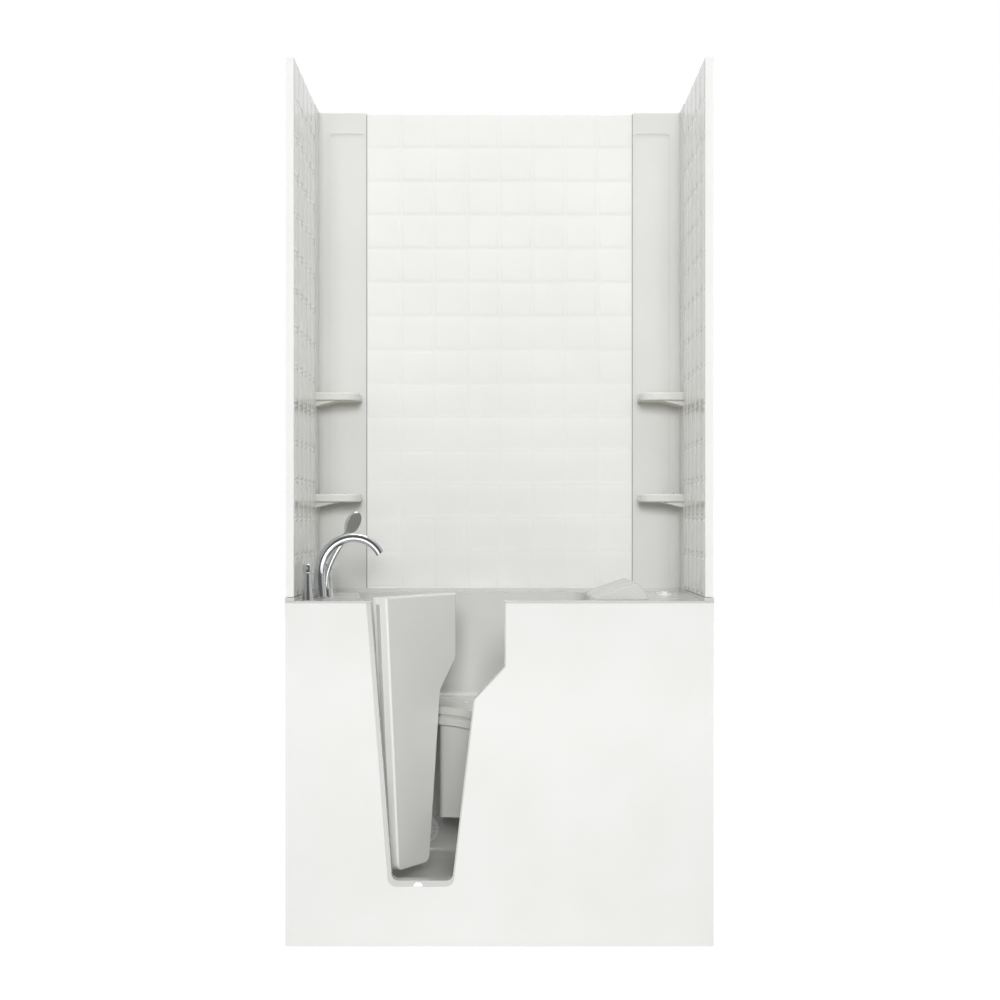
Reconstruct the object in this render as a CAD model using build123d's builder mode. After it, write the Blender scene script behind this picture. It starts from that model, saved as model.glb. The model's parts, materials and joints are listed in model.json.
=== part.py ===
from build123d import *
import os
from math import cos, pi, radians, sin, sqrt, tan

# Walk-in jetted bathtub with an inward-opening door, a tiled wall surround and a deck tap set.
# Millimetres. X to the right, Y to the back, Z up. The origin is on the floor under the tub's middle.

# Tub
tub_width = 1194.0
tub_depth = 686.0
rim_height = 965.0
shell_wall = 6.0
deck_thickness = 6.0
deck_lip_radius = 2.5
skirt_drop = 40.0
ledge_height = 10.0
ledge_width = 26.0

# Bathing space
basin_front_margin = 45.0
basin_back_margin = 86.0
basin_right_margin = 332.0
basin_left_margin_front = 213.0
basin_left_margin_back = 151.0
basin_corner_radius = 55.0
hinge_corner_radius = 14.0
basin_rim_radius = 4.0
floor_height = 155.0
floor_corner_radius = 25.0
seat_height = 640.0
seat_depth = 453.0
seat_swing_radius = 298.0
seat_corner_radius = 22.0
seat_edge_blend = 40.0
seat_lip_height = 53.0
seat_lip_overhang = 10.0
lip_groove_drop = 22.0
lip_groove_width = 9.0
lip_groove_depth = 6.0
toe_recess_depth = 70.0
toe_recess_height = 150.0
toe_ceiling_fall = 0.152
nozzle_seat_radius = 4.3

# Doorway in the apron, and the door frame behind it
doorway_left_margin = 225.5
doorway_width = 389.5
doorway_sill = 170.0
doorway_left_slant = 61.5
doorway_step_top = 782.0
doorway_step_bottom = 690.0
doorway_step_width = 86.0
doorway_right_slant = 61.0
doorway_bottom_radius = 25.0
doorway_step_radius = 16.0
frame_inset_left = 12.0
frame_inset_right = 4.0
frame_inset_sill = 16.0
frame_flange_width = 40.0

# Apron
apron_thickness = 5.0
apron_ground_gap = 3.0
bead_width = 7.0
bead_depth = 1.5
bead_corner_radius = 14.0
panel_side_margin = 49.0
panel_end_margin = 56.0
panel_bottom = 167.0
left_panel_top = 863.0
left_panel_top_width = 101.0
left_panel_slant_width = 121.0
left_panel_bottom_width = 167.0
panel_shoulder_drop = 55.0
right_panel_top = 828.0
right_panel_left_margin = 668.0
right_panel_shoulder = 8.0
right_panel_slant = 45.0

# Door
door_open_angle = 59.0
door_thickness = 45.0
door_setback = 8.0
door_gap = 5.0
door_sill_gap = 10.0
door_top_rise = 8.0
door_wall = 4.0
door_edge_radius = 6.0
door_corner_radius = 24.0
door_step_radius = 34.0
door_fit = 0.3
seal_width = 10.0
seal_inset = 10.0
seal_proud = 3.0
seal_groove = 2.0
hinge_heights = (400.0, 800.0)
hinge_barrel_radius = 6.5
hinge_length = 60.0
hinge_pin_radius = 3.0
hinge_pin_clearance = 0.05
hinge_leaf_thickness = 3.0
hinge_leaf_reach = 110.0
hinge_knuckle_gap = 0.5
latch_edge_distance = 55.0
latch_height = 860.0
latch_boss_radius = 17.0
latch_boss_height = 14.0
latch_lever_length = 105.0
latch_lever_width = 16.0
latch_lever_thickness = 8.0
latch_stand_off = 0.4
spindle_radius = 6.0
spindle_clearance = 0.05
bolt_size = 14.0
bolt_length = 70.0
bolt_throw = 14.0
bolt_clearance = 0.4
bolt_face_distance = 22.0
catch_radius = 13.0
catch_thickness = 3.0
catch_dome_radius = 5.0
catch_offset = 83.0

# Wall surround
overall_height = 2481.0
surround_width = 1190.0
panel_thickness = 24.0
corner_back_leg = 149.0
corner_side_leg = 119.0
corner_cove_radius = 16.0
centre_panel_drop = 4.0
panel_joint_gap = 0.5
panel_edge_radius = 3.0
tile_pitch_x = 104.0
tile_pitch_z = 106.6
tile_columns = 8
tile_rows = 14
side_tile_pitch = 110.0
grout_width = 3.5
grout_depth = 1.5
niche_top_margin = 65.0
niche_corner_margin = 32.0
niche_joint_margin = 6.0
niche_bottom_margin = 30.0
niche_depth = 3.0
niche_radius = 12.0
shelf_heights = (1588.0, 1272.0)
shelf_thickness = 25.0
shelf_depth = 114.0
shelf_length = 135.0
shelf_nose_radius = 45.0
shelf_web_drop = 17.0
shelf_rib_count = 3
shelf_rib_height = 3.0
shelf_rib_width = 9.0

# Neck rest
neck_rest_front_margin = 100.0
neck_rest_length = 500.0
neck_rest_width = 159.0
neck_rest_crest = 44.0
neck_rest_crest_offset = 31.0
neck_rest_edge_radius = 5.0

# Support frame and feet
tube_size = 25.0
tube_wall = 2.0
frame_base_height = 40.0
frame_side_gap = 0.5
front_rail_setback = 17.0
end_rail_x = 530.0
floor_rail_positions = (-400.0, -240.0)
seat_rail_positions = (60.0, 220.0)
blower_rail_positions = (350.0, 450.0)
floor_post_spacing = 190.0
seat_post_spacing = 440.0
foot_pad_radius = 24.0
foot_pad_height = 8.0
foot_stem_radius = 6.0
foot_stem_length = 74.0
foot_clearance = 0.35
foot_nut_height = 9.0
foot_nut_size = 19.0
foot_inset = 60.0
foot_travel = 20.0

# Drain and overflow
drain_x = -345.0
drain_y = 150.0
drain_flange_radius = 35.0
drain_flange_height = 2.5
drain_body_radius = 24.0
drain_bore_radius = 19.0
drain_body_length = 60.0
shell_hole_clearance = 0.3
plug_radius = 25.0
plug_height = 4.0
plug_lift = 20.0
plug_gap = 0.4
plug_stem_radius = 3.0
plug_stem_clear = 2.0
stem_guide_clearance = 0.1
waste_pipe_radius = 19.0
waste_pipe_wall = 2.5
waste_outlet_height = 20.0
waste_spigot_length = 24.0
waste_elbow_radius = 22.0
waste_collar_height = 12.0
waste_branch_height = 78.0
overflow_height = 880.0
overflow_plate_radius = 36.0
overflow_plate_thickness = 4.0
overflow_pipe_radius = 15.0
overflow_pipe_setback = 22.0
overflow_knob_radius = 22.0
overflow_knob_height = 14.0
overflow_slot_count = 6

# Jets and pump
jet_height = 760.0
jet_rear_positions = (62.0, 160.0)
jet_side_positions = (-100.0, 80.0)
jet_foot_x = -270.0
jet_foot_heights = (340.0, 470.0)
jet_barrel_radius = 19.7
jet_barrel_length = 34.0
jet_flange_radius = 27.0
jet_flange_thickness = 4.0
jet_ring_radius = 29.0
jet_ring_thickness = 4.0
jet_socket_radius = 12.8
jet_ball_radius = 12.5
jet_ball_setback = 5.0
jet_bore_radius = 5.0
jet_snout_radius = 8.0
jet_snout_reach = 17.0
jet_throat_radius = 15.0
jet_collar_radius = 14.8
jet_trunnion_radius = 2.5
jet_trunnion_reach = 14.5
jet_trunnion_clearance = 0.05
manifold_radius = 12.0
branch_radius = 6.0
manifold_drop = 45.0
manifold_setback = 21.0
manifold_bend_radius = 18.0
foot_branch_offset = 42.0
suction_x = -230.0
suction_height = 223.0
suction_cover_radius = 42.0
suction_cover_thickness = 7.0
suction_pipe_radius = 18.0
suction_bend_radius = 24.0
suction_slot_rings = 2
pump_x = 140.0
pump_y = -20.0
pump_axis_height = 150.0
pump_volute_radius = 68.0
pump_volute_width = 56.0
pump_wall = 4.0
pump_foot_thickness = 6.0
pump_foot_length = 190.0
impeller_radius = 48.0
impeller_width = 22.0
impeller_blades = 6
shaft_radius = 6.0
shaft_clearance = 0.08
motor_radius = 56.0
motor_length = 150.0
motor_fins = 16
outlet_radius = 15.0

# Air system
blower_x = 400.0
blower_y = 60.0
blower_radius = 70.0
blower_height = 130.0
blower_wall = 3.0
blower_fan_radius = 52.0
blower_fan_height = 30.0
blower_fan_blades = 8
air_pipe_radius = 11.0
air_pipe_height = 612.0
air_nozzle_radius = 4.0
air_nozzle_head = 7.0
air_nozzle_positions = (-100.0, -20.0, 60.0, 140.0)
air_line_y = 60.0
control_box_width = 100.0
control_box_depth = 160.0
control_box_height = 150.0
control_box_base = 420.0

# Deck controls
control_x = 500.0
control_y = 110.0
control_plate_length = 126.0
control_plate_width = 44.0
control_plate_height = 3.0
control_pitch = 38.0
button_radius = 10.0
button_proud = 3.5
button_travel = 2.5
button_clearance = 0.35
button_stem_radius = 4.0
switch_barrel_radius = 12.5
switch_barrel_length = 34.0
air_knob_height = 11.0

# Tap set on the left deck
hot_valve_x = -545.0
hot_valve_depth = 95.0
spout_x = -516.0
spout_depth = 170.0
shower_x = -506.0
shower_depth = 250.0
cold_valve_depth = 340.0
diverter_depth = 420.0
rear_tap_x = -519.0
valve_base_radius = 16.0
valve_neck_radius = 9.0
valve_height = 74.0
valve_hub_radius = 14.0
valve_hub_height = 27.0
valve_gap = 0.4
valve_stem_radius = 5.0
valve_stem_clearance = 0.05
valve_stem_length = 24.0
lever_length = 58.0
lever_thickness = 9.0
tap_shank_radius = 9.0
tap_shank_length = 70.0
tap_nut_radius = 16.0
tap_nut_height = 9.0
spout_base_radius = 21.0
spout_root_radius = 17.0
spout_tip_radius = 12.0
spout_bore_radius = 8.0
spout_reach = 172.0
spout_rise = 175.0
spout_tip_drop = 46.0
holder_radius = 15.0
holder_height = 24.0
holder_bore_radius = 10.5
handle_foot_radius = 7.0
handle_top_radius = 10.0
shower_head_length = 74.0
shower_head_width = 46.0
shower_head_thickness = 22.0
shower_lean = 20.0
shower_height = 250.0
pipe_radius = 8.0
pipe_tail_x = -480.0
pipe_tail_height = 80.0
pipe_tail_turn_height = 790.0
pipe_tail_bend = 16.0
pipe_tail_length = 30.0
pipe_tail_radius = 10.0
cross_pipe_height = 830.0

# Places worked out from the sizes above
front_y = -tub_depth / 2
back_y = tub_depth / 2
right_x = tub_width / 2
left_x = -tub_width / 2
deck_underside = rim_height - deck_thickness
apron_back_y = front_y + apron_thickness
basin_front_y = front_y + basin_front_margin
basin_back_y = back_y - basin_back_margin
basin_right_x = right_x - basin_right_margin
basin_left_front_x = left_x + basin_left_margin_front
basin_left_back_x = left_x + basin_left_margin_back
seat_edge_x = basin_right_x - seat_depth
lip_bottom = seat_height - seat_lip_height
doorway_left_x = left_x + doorway_left_margin
doorway_right_x = doorway_left_x + doorway_width
doorway_step_x = doorway_right_x - doorway_step_width
doorway_foot_right_x = doorway_step_x - doorway_right_slant
doorway_foot_left_x = doorway_left_x + doorway_left_slant
frame_sill = doorway_sill + frame_inset_sill
hinge_x = doorway_left_x + frame_inset_left + door_gap
hinge_y = front_y + door_setback + door_thickness
surround_base = rim_height + ledge_height
panel_outer_x = surround_width / 2
panel_inner_x = panel_outer_x - panel_thickness
wall_face_y = back_y - panel_thickness
centre_half_width = panel_outer_x - panel_thickness - corner_back_leg
side_joint_y = wall_face_y - corner_side_leg
outer_wall_y = basin_back_y + shell_wall

os.makedirs("parts", exist_ok=True)


def keep(piece, label):
    """Label a finished piece and write it under its own name."""
    piece.part.label = label
    export_step(piece.part, f"parts/{label}.step")


def front_plane(y):
    """A plane across the tub at y, whose normal points to the front."""
    return Plane.XZ.offset(-y)


def swing_plane(distance):
    """A plane along the open door, at a distance outward from its inner face."""
    turn = radians(door_open_angle)
    face = Plane(
        origin=(hinge_x, hinge_y, 0),
        x_dir=(cos(turn), sin(turn), 0),
        z_dir=(sin(turn), -cos(turn), 0),
    )
    return face.offset(distance)


def left_edge_at(height):
    """X of the doorway's slanting left edge at a height."""
    share = (height - doorway_sill) / (rim_height - doorway_sill)
    return doorway_foot_left_x + (doorway_left_x - doorway_foot_left_x) * share


def lower_right_edge_at(height):
    """X of the doorway's right edge below its step."""
    share = (height - doorway_sill) / (doorway_step_bottom - doorway_sill)
    return doorway_foot_right_x + (doorway_step_x - doorway_foot_right_x) * share


def doorway_outline(left, right, sill, top, corner, step, shift=0.0):
    """Closed outline of the doorway, drawn in by left and right and shifted along X."""
    points = [
        (left_edge_at(top) + left + shift, top),
        (left_edge_at(sill) + left + shift, sill),
        (lower_right_edge_at(sill) - right + shift, sill),
        (doorway_step_x - right + shift, doorway_step_bottom),
        (doorway_right_x - right + shift, doorway_step_top),
        (doorway_right_x - right + shift, top),
    ]
    return FilletPolyline(*points, radius=[0, corner, corner, step, step, 0], close=True)


def door_outline(inset=0.0, top_inset=0.0):
    """Outline of the closed door in its own plane, measured from the hinge axis."""
    left = frame_inset_left + door_gap + inset
    right = frame_inset_right + door_gap + inset
    sill = frame_sill + door_sill_gap + inset
    top = rim_height + door_top_rise - top_inset
    corner = door_corner_radius - inset
    step = door_step_radius
    return doorway_outline(left, right, sill, top, corner, step, -hinge_x)


def basin_plan(height, grow):
    """Plan of the upper bathing space, grown outward by a wall."""
    with BuildSketch(Plane.XY.offset(height)) as plan:
        with BuildLine():
            FilletPolyline(
                (basin_left_front_x, basin_front_y),
                (basin_right_x, basin_front_y),
                (basin_right_x, basin_back_y),
                (basin_left_back_x, basin_back_y),
                radius=[hinge_corner_radius] + [basin_corner_radius] * 3,
                close=True,
            )
        make_face()
        if grow:
            offset(amount=grow)
    return plan.sketch


def footwell_plan(height, setback, grow):
    """Plan of the footwell: its seat side follows the door's swing, then runs straight back."""
    radius = seat_swing_radius + setback
    edge_x = seat_edge_x + setback
    arc_start = (hinge_x + sqrt(radius**2 - (basin_front_y - hinge_y) ** 2), basin_front_y)
    arc_end = (edge_x, hinge_y + sqrt(radius**2 - (edge_x - hinge_x) ** 2))
    back_corner = (edge_x, basin_back_y)
    left_back = (basin_left_back_x, basin_back_y)
    left_front = (basin_left_front_x, basin_front_y)
    with BuildSketch(Plane.XY.offset(height)) as plan:
        with BuildLine():
            Polyline(arc_end, back_corner, left_back, left_front, arc_start)
            RadiusArc(arc_start, arc_end, -radius)
        make_face()
        fillet(plan.vertices().sort_by_distance(left_back)[0], radius=basin_corner_radius)
        fillet(plan.vertices().sort_by_distance(left_front)[0], radius=hinge_corner_radius)
        fillet(plan.vertices().sort_by_distance(back_corner)[0], radius=seat_edge_blend)
        fillet(plan.vertices().sort_by_distance(arc_end)[0], radius=seat_edge_blend)
        if grow:
            offset(amount=grow)
    return plan.sketch


def bathing_space(grow, top):
    """The space inside the shell, or with grow the shell's outer form."""
    toe_top = floor_height + toe_recess_height
    low = floor_height - grow
    with BuildPart() as space:
        extrude(footwell_plan(low, toe_recess_depth, grow), amount=toe_top + 60 - low)
        fillet(space.edges().group_by(Axis.Z)[0], radius=floor_corner_radius + grow)
        ceiling = Plane(origin=(0, 0, toe_top + grow), z_dir=(0, toe_ceiling_fall, 1))
        split(bisect_by=ceiling, keep=Keep.BOTTOM)
        riser_low = floor_height + toe_recess_height / 2
        riser = footwell_plan(riser_low, seat_lip_overhang, grow)
        extrude(riser, amount=lip_bottom + grow - riser_low)
        lip = footwell_plan(lip_bottom - grow, 0, grow)
        extrude(lip, amount=seat_lip_height + grow + 2 * seat_corner_radius)
        groove_top = seat_height - lip_groove_drop
        groove_low = groove_top - lip_groove_width - grow
        groove = footwell_plan(groove_low, lip_groove_depth, grow)
        extrude(groove, amount=lip_groove_width + 2 * grow)
    with BuildPart() as upper:
        extrude(basin_plan(seat_height - grow, grow), amount=top - seat_height + grow)
        fillet(upper.edges().group_by(Axis.Z)[0], radius=seat_corner_radius + grow)
        add(space.part)
    return upper.part


def jet_planes():
    """Each jet's place: its origin on the wall's inner face and its axis into the water."""
    planes = []
    for x in jet_rear_positions:
        planes.append(Plane(origin=(x, basin_back_y, jet_height), x_dir=(1, 0, 0), z_dir=(0, -1, 0)))
    for y in jet_side_positions:
        planes.append(Plane(origin=(basin_right_x, y, jet_height), x_dir=(0, -1, 0), z_dir=(-1, 0, 0)))
    for z in jet_foot_heights:
        planes.append(Plane(origin=(jet_foot_x, basin_back_y, z), x_dir=(1, 0, 0), z_dir=(0, -1, 0)))
    return planes


jets = jet_planes()
suction_plane = Plane(origin=(suction_x, basin_back_y, suction_height), x_dir=(1, 0, 0), z_dir=(0, -1, 0))
overflow_plane = Plane(origin=(drain_x, basin_back_y, overflow_height), x_dir=(1, 0, 0), z_dir=(0, -1, 0))
tap_places = (
    (hot_valve_x, front_y + hot_valve_depth),
    (spout_x, front_y + spout_depth),
    (shower_x, front_y + shower_depth),
    (rear_tap_x, front_y + cold_valve_depth),
    (rear_tap_x, front_y + diverter_depth),
)
keeper_y = hinge_y - bolt_face_distance - bolt_size / 2


def make_tub_shell():
    """Deck, skirts, wall ledge, basin, seat, footwell and door frame, moulded in one."""
    with BuildPart() as tub_shell:
        with BuildSketch(Plane.XY.offset(deck_underside)):
            Rectangle(tub_width, tub_depth)
        extrude(amount=deck_thickness)
        front_edges = tub_shell.edges().filter_by(Axis.X).group_by(Axis.Y)[0]
        fillet(front_edges.sort_by(Axis.Z)[-1], radius=deck_lip_radius)
        with BuildSketch(Plane.XY.offset(rim_height - skirt_drop)):
            with Locations((0, apron_thickness / 2)):
                Rectangle(tub_width, tub_depth - apron_thickness)
            with Locations((0, -shell_wall / 2)):
                Rectangle(tub_width - 2 * shell_wall, tub_depth - shell_wall, mode=Mode.SUBTRACT)
        extrude(amount=skirt_drop - deck_thickness)
        with BuildSketch(Plane.XY.offset(rim_height)):
            Rectangle(tub_width, tub_depth)
            with Locations((0, -ledge_width / 2)):
                Rectangle(tub_width - 2 * ledge_width, tub_depth - ledge_width, mode=Mode.SUBTRACT)
        extrude(amount=ledge_height)
        add(bathing_space(shell_wall, rim_height))
        with BuildSketch(front_plane(apron_back_y + shell_wall)):
            with BuildLine():
                doorway_outline(
                    -frame_flange_width, -frame_flange_width, frame_sill - frame_flange_width,
                    deck_underside, doorway_bottom_radius, doorway_step_radius,
                )
            make_face()
        extrude(amount=shell_wall)
        with BuildSketch(front_plane(basin_front_y)):
            with BuildLine():
                doorway_outline(
                    frame_inset_left - shell_wall, frame_inset_right - shell_wall,
                    frame_sill - shell_wall, deck_underside,
                    doorway_bottom_radius, doorway_step_radius,
                )
            make_face()
        extrude(amount=basin_front_margin - apron_thickness)
        add(bathing_space(0, rim_height + ledge_height), mode=Mode.SUBTRACT)
        with BuildSketch(front_plane(basin_front_y + shell_wall)):
            with BuildLine():
                doorway_outline(
                    frame_inset_left, frame_inset_right, frame_sill, rim_height + ledge_height,
                    doorway_bottom_radius - shell_wall, doorway_step_radius,
                )
            make_face()
        extrude(amount=basin_front_margin + shell_wall, mode=Mode.SUBTRACT)
        cut_shell_holes()
    return tub_shell


def cut_shell_holes():
    """Holes for the drain, overflow, suction, jets, air nozzles, taps, controls and latch bolt."""
    hole_depth = 3 * shell_wall
    with Locations((drain_x, drain_y, floor_height)):
        Cylinder(drain_body_radius + shell_hole_clearance, hole_depth, mode=Mode.SUBTRACT)
    with Locations(overflow_plane):
        Cylinder(overflow_pipe_radius + shell_hole_clearance, hole_depth, mode=Mode.SUBTRACT)
    with Locations(suction_plane):
        Cylinder(suction_pipe_radius + shell_hole_clearance, hole_depth, mode=Mode.SUBTRACT)
    with Locations(*jets):
        Cylinder(jet_barrel_radius + shell_hole_clearance, hole_depth, mode=Mode.SUBTRACT)
    with Locations(*[(x, air_line_y, seat_height) for x in air_nozzle_positions]):
        Cylinder(nozzle_seat_radius, hole_depth, mode=Mode.SUBTRACT)
    with Locations(*[(x, y, rim_height) for x, y in tap_places]):
        Cylinder(tap_shank_radius + shell_hole_clearance, hole_depth, mode=Mode.SUBTRACT)
    with Locations(*[(control_x, y, rim_height) for y in control_ys]):
        Cylinder(switch_barrel_radius + shell_hole_clearance, hole_depth, mode=Mode.SUBTRACT)
    with Locations((doorway_right_x, keeper_y, latch_height)):
        slot = bolt_size + 2 * bolt_clearance + 2
        Box(4 * shell_wall, slot, slot, mode=Mode.SUBTRACT)


control_ys = tuple(control_y + control_pitch * step for step in (-1, 0, 1))

tub_shell = make_tub_shell()
keep(tub_shell, "tub_shell")


def bead_groove(points, radii):
    """A shallow groove round a decorative panel outline on the apron's face."""
    with BuildSketch(front_plane(front_y + bead_depth)) as ring:
        with BuildLine():
            FilletPolyline(*points, radius=radii, close=True)
        make_face()
        offset(amount=-bead_width, mode=Mode.SUBTRACT)
    return ring.sketch


# Apron: a removable moulded panel with two beaded fields
left_field_x = left_x + panel_side_margin
left_field = [
    (left_field_x, left_panel_top),
    (left_field_x, panel_bottom),
    (left_field_x + left_panel_bottom_width, panel_bottom),
    (left_field_x + left_panel_slant_width, left_panel_top - panel_shoulder_drop),
    (left_field_x + left_panel_top_width, left_panel_top),
]
right_field_x = left_x + right_panel_left_margin
right_field_end = right_x - panel_end_margin
right_field = [
    (right_field_x, right_panel_top),
    (right_field_x - right_panel_shoulder, right_panel_top - panel_shoulder_drop),
    (right_field_x - right_panel_shoulder - right_panel_slant, panel_bottom),
    (right_field_end, panel_bottom),
    (right_field_end, right_panel_top),
]
with BuildPart() as front_apron:
    with BuildSketch(front_plane(apron_back_y)):
        with Locations((0, (deck_underside + apron_ground_gap) / 2)):
            Rectangle(tub_width, deck_underside - apron_ground_gap)
        with BuildLine():
            doorway_outline(0, 0, doorway_sill, rim_height, doorway_bottom_radius, doorway_step_radius)
        make_face(mode=Mode.SUBTRACT)
    extrude(amount=apron_thickness)
    for field in (left_field, right_field):
        corner_radii = [bead_corner_radius] * len(field)
        extrude(bead_groove(field, corner_radii), amount=bead_depth, mode=Mode.SUBTRACT)
keep(front_apron, "front_apron")


# Support frame: square steel tube, welded
side_line_x = right_x - shell_wall - frame_side_gap - tube_size / 2
rear_line_y = back_y - shell_wall - frame_side_gap - tube_size / 2
front_line_y = apron_back_y + front_rail_setback
top_rail_z = deck_underside - tube_size / 2
base_rail_z = frame_base_height + tube_size / 2
post_base_z = frame_base_height + tube_size
side_rail_y = (front_line_y + rear_line_y) / 2
side_rail_length = rear_line_y - front_line_y - tube_size
cross_rail_positions = (
    -end_rail_x, *floor_rail_positions, *seat_rail_positions, *blower_rail_positions, end_rail_x
)
top_front_left_end = doorway_left_x - frame_flange_width - 10
top_front_right_start = doorway_right_x + frame_flange_width + 10
seat_underside = seat_height - shell_wall
floor_underside = floor_height - shell_wall


def frame_tube(centre, size):
    """One length of square tube, given by its centre and outer size."""
    with Locations(centre):
        Box(*size)


def frame_bore(centre, size):
    """The hollow inside one length of tube."""
    with Locations(centre):
        Box(*[length - 2 * tube_wall for length in size], mode=Mode.SUBTRACT)


def frame_members():
    """Centre and size of every length of tube in the frame."""
    members = []
    upright = deck_underside - frame_base_height
    for x in (-side_line_x, side_line_x):
        for y in (front_line_y, rear_line_y):
            members.append(((x, y, frame_base_height + upright / 2), (tube_size, tube_size, upright)))
        for z in (base_rail_z, top_rail_z):
            members.append(((x, side_rail_y, z), (tube_size, side_rail_length, tube_size)))
    span = 2 * side_line_x - tube_size
    for y, z in ((front_line_y, base_rail_z), (rear_line_y, base_rail_z), (rear_line_y, top_rail_z)):
        members.append(((0, y, z), (span, tube_size, tube_size)))
    left_start = -side_line_x + tube_size / 2
    left_run = top_front_left_end - left_start
    members.append(((left_start + left_run / 2, front_line_y, top_rail_z), (left_run, tube_size, tube_size)))
    right_end = side_line_x - tube_size / 2
    right_run = right_end - top_front_right_start
    members.append(((right_end - right_run / 2, front_line_y, top_rail_z), (right_run, tube_size, tube_size)))
    for x in cross_rail_positions:
        members.append(((x, side_rail_y, base_rail_z), (tube_size, side_rail_length, tube_size)))
    floor_post = floor_underside - post_base_z
    for x in floor_rail_positions:
        for step in (-1, 0, 1):
            place = (x, side_rail_y + step * floor_post_spacing, post_base_z + floor_post / 2)
            members.append((place, (tube_size, tube_size, floor_post)))
    seat_post = seat_underside - post_base_z
    for x in seat_rail_positions:
        for step in (-0.5, 0.5):
            place = (x, side_rail_y + step * seat_post_spacing, post_base_z + seat_post / 2)
            members.append((place, (tube_size, tube_size, seat_post)))
    return members


foot_places = [
    (x, y)
    for x in (-end_rail_x, end_rail_x)
    for y in (front_line_y + foot_inset, rear_line_y - foot_inset)
]
with BuildPart() as support_frame:
    for member_centre, member_size in frame_members():
        frame_tube(member_centre, member_size)
    for member_centre, member_size in frame_members():
        frame_bore(member_centre, member_size)
    with Locations(*[(x, y, base_rail_z) for x, y in foot_places]):
        Cylinder(foot_stem_radius + foot_clearance, tube_size + 2, mode=Mode.SUBTRACT)
keep(support_frame, "support_frame")


# Levelling feet: pad, nut and threaded stem that slides in the base rail
for number, (foot_x, foot_y) in enumerate(foot_places, start=1):
    with BuildPart() as foot:
        with BuildSketch(Plane.XY):
            with Locations((foot_x, foot_y)):
                Circle(foot_pad_radius)
        extrude(amount=foot_pad_height)
        fillet(foot.edges().group_by(Axis.Z)[-1], radius=2)
        with BuildSketch(Plane.XY.offset(foot_pad_height)):
            with Locations((foot_x, foot_y)):
                RegularPolygon(foot_nut_size / 2, 6, major_radius=False)
        extrude(amount=foot_nut_height)
        with BuildSketch(Plane.XY.offset(foot_pad_height)):
            with Locations((foot_x, foot_y)):
                Circle(foot_stem_radius)
        extrude(amount=foot_stem_length)
    keep(foot, f"foot_{number}")


# Drain body: flange in the footwell floor and threaded barrel below it
with BuildPart() as drain_body:
    with BuildSketch(Plane.XY.offset(floor_height)):
        with Locations((drain_x, drain_y)):
            Circle(drain_flange_radius)
    extrude(amount=drain_flange_height)
    with BuildSketch(Plane.XY.offset(floor_height - drain_body_length)):
        with Locations((drain_x, drain_y)):
            Circle(drain_body_radius)
    extrude(amount=drain_body_length)
    with Locations((drain_x, drain_y, floor_height)):
        Cylinder(drain_bore_radius, 4 * drain_body_length, mode=Mode.SUBTRACT)
    guide_z = floor_height - drain_body_length / 2
    with BuildSketch(Plane.XY.offset(guide_z)):
        with Locations((drain_x, drain_y)):
            Rectangle(2 * drain_bore_radius + 1, 4)
            Rectangle(4, 2 * drain_bore_radius + 1)
            Circle(plug_stem_radius + 3)
            Circle(plug_stem_radius + stem_guide_clearance, mode=Mode.SUBTRACT)
    extrude(amount=6)
keep(drain_body, "drain_body")

with BuildPart() as drain_plug:
    with BuildSketch(Plane.XY.offset(floor_height + drain_flange_height + plug_gap)):
        with Locations((drain_x, drain_y)):
            Circle(plug_radius)
    extrude(amount=plug_height)
    fillet(drain_plug.edges().group_by(Axis.Z)[-1], radius=1.5)
    with BuildSketch(Plane.XY.offset(floor_height - drain_body_length + plug_stem_clear)):
        with Locations((drain_x, drain_y)):
            Circle(plug_stem_radius)
    extrude(amount=drain_body_length - plug_stem_clear + drain_flange_height + plug_gap)
keep(drain_plug, "drain_plug")

overflow_pipe_y = outer_wall_y + overflow_pipe_setback
drain_tee_top = floor_height - drain_body_length
waste_collar_start = drain_tee_top - waste_collar_height
waste_spigot_end = waste_outlet_height + waste_spigot_length
with BuildPart() as drain_tee:
    with BuildSketch(Plane.XY.offset(waste_outlet_height)):
        with Locations((drain_x, drain_y)):
            Circle(waste_pipe_radius)
    extrude(amount=waste_spigot_length)
    with BuildSketch(Plane.XY.offset(waste_spigot_end)):
        with Locations((drain_x, drain_y)):
            Circle(waste_elbow_radius)
    extrude(amount=waste_collar_start - waste_spigot_end)
    with BuildSketch(Plane.XY.offset(waste_collar_start)):
        with Locations((drain_x, drain_y)):
            Circle(drain_body_radius + 4)
    extrude(amount=waste_collar_height)
    with BuildSketch(front_plane(overflow_pipe_y)):
        with Locations((drain_x, waste_branch_height - overflow_pipe_radius)):
            Circle(overflow_pipe_radius)
    extrude(amount=overflow_pipe_y - drain_y)
    with Locations((drain_x, overflow_pipe_y, waste_branch_height - overflow_pipe_radius)):
        Sphere(overflow_pipe_radius)
    with BuildSketch(Plane.XY.offset(waste_branch_height - overflow_pipe_radius)):
        with Locations((drain_x, overflow_pipe_y)):
            Circle(overflow_pipe_radius)
    extrude(amount=3 * overflow_pipe_radius)
    with BuildSketch(Plane.XY.offset(waste_outlet_height)):
        with Locations((drain_x, drain_y)):
            Circle(waste_pipe_radius - waste_pipe_wall)
    extrude(amount=drain_body_length + waste_branch_height, mode=Mode.SUBTRACT)
keep(drain_tee, "drain_tee")

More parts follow.
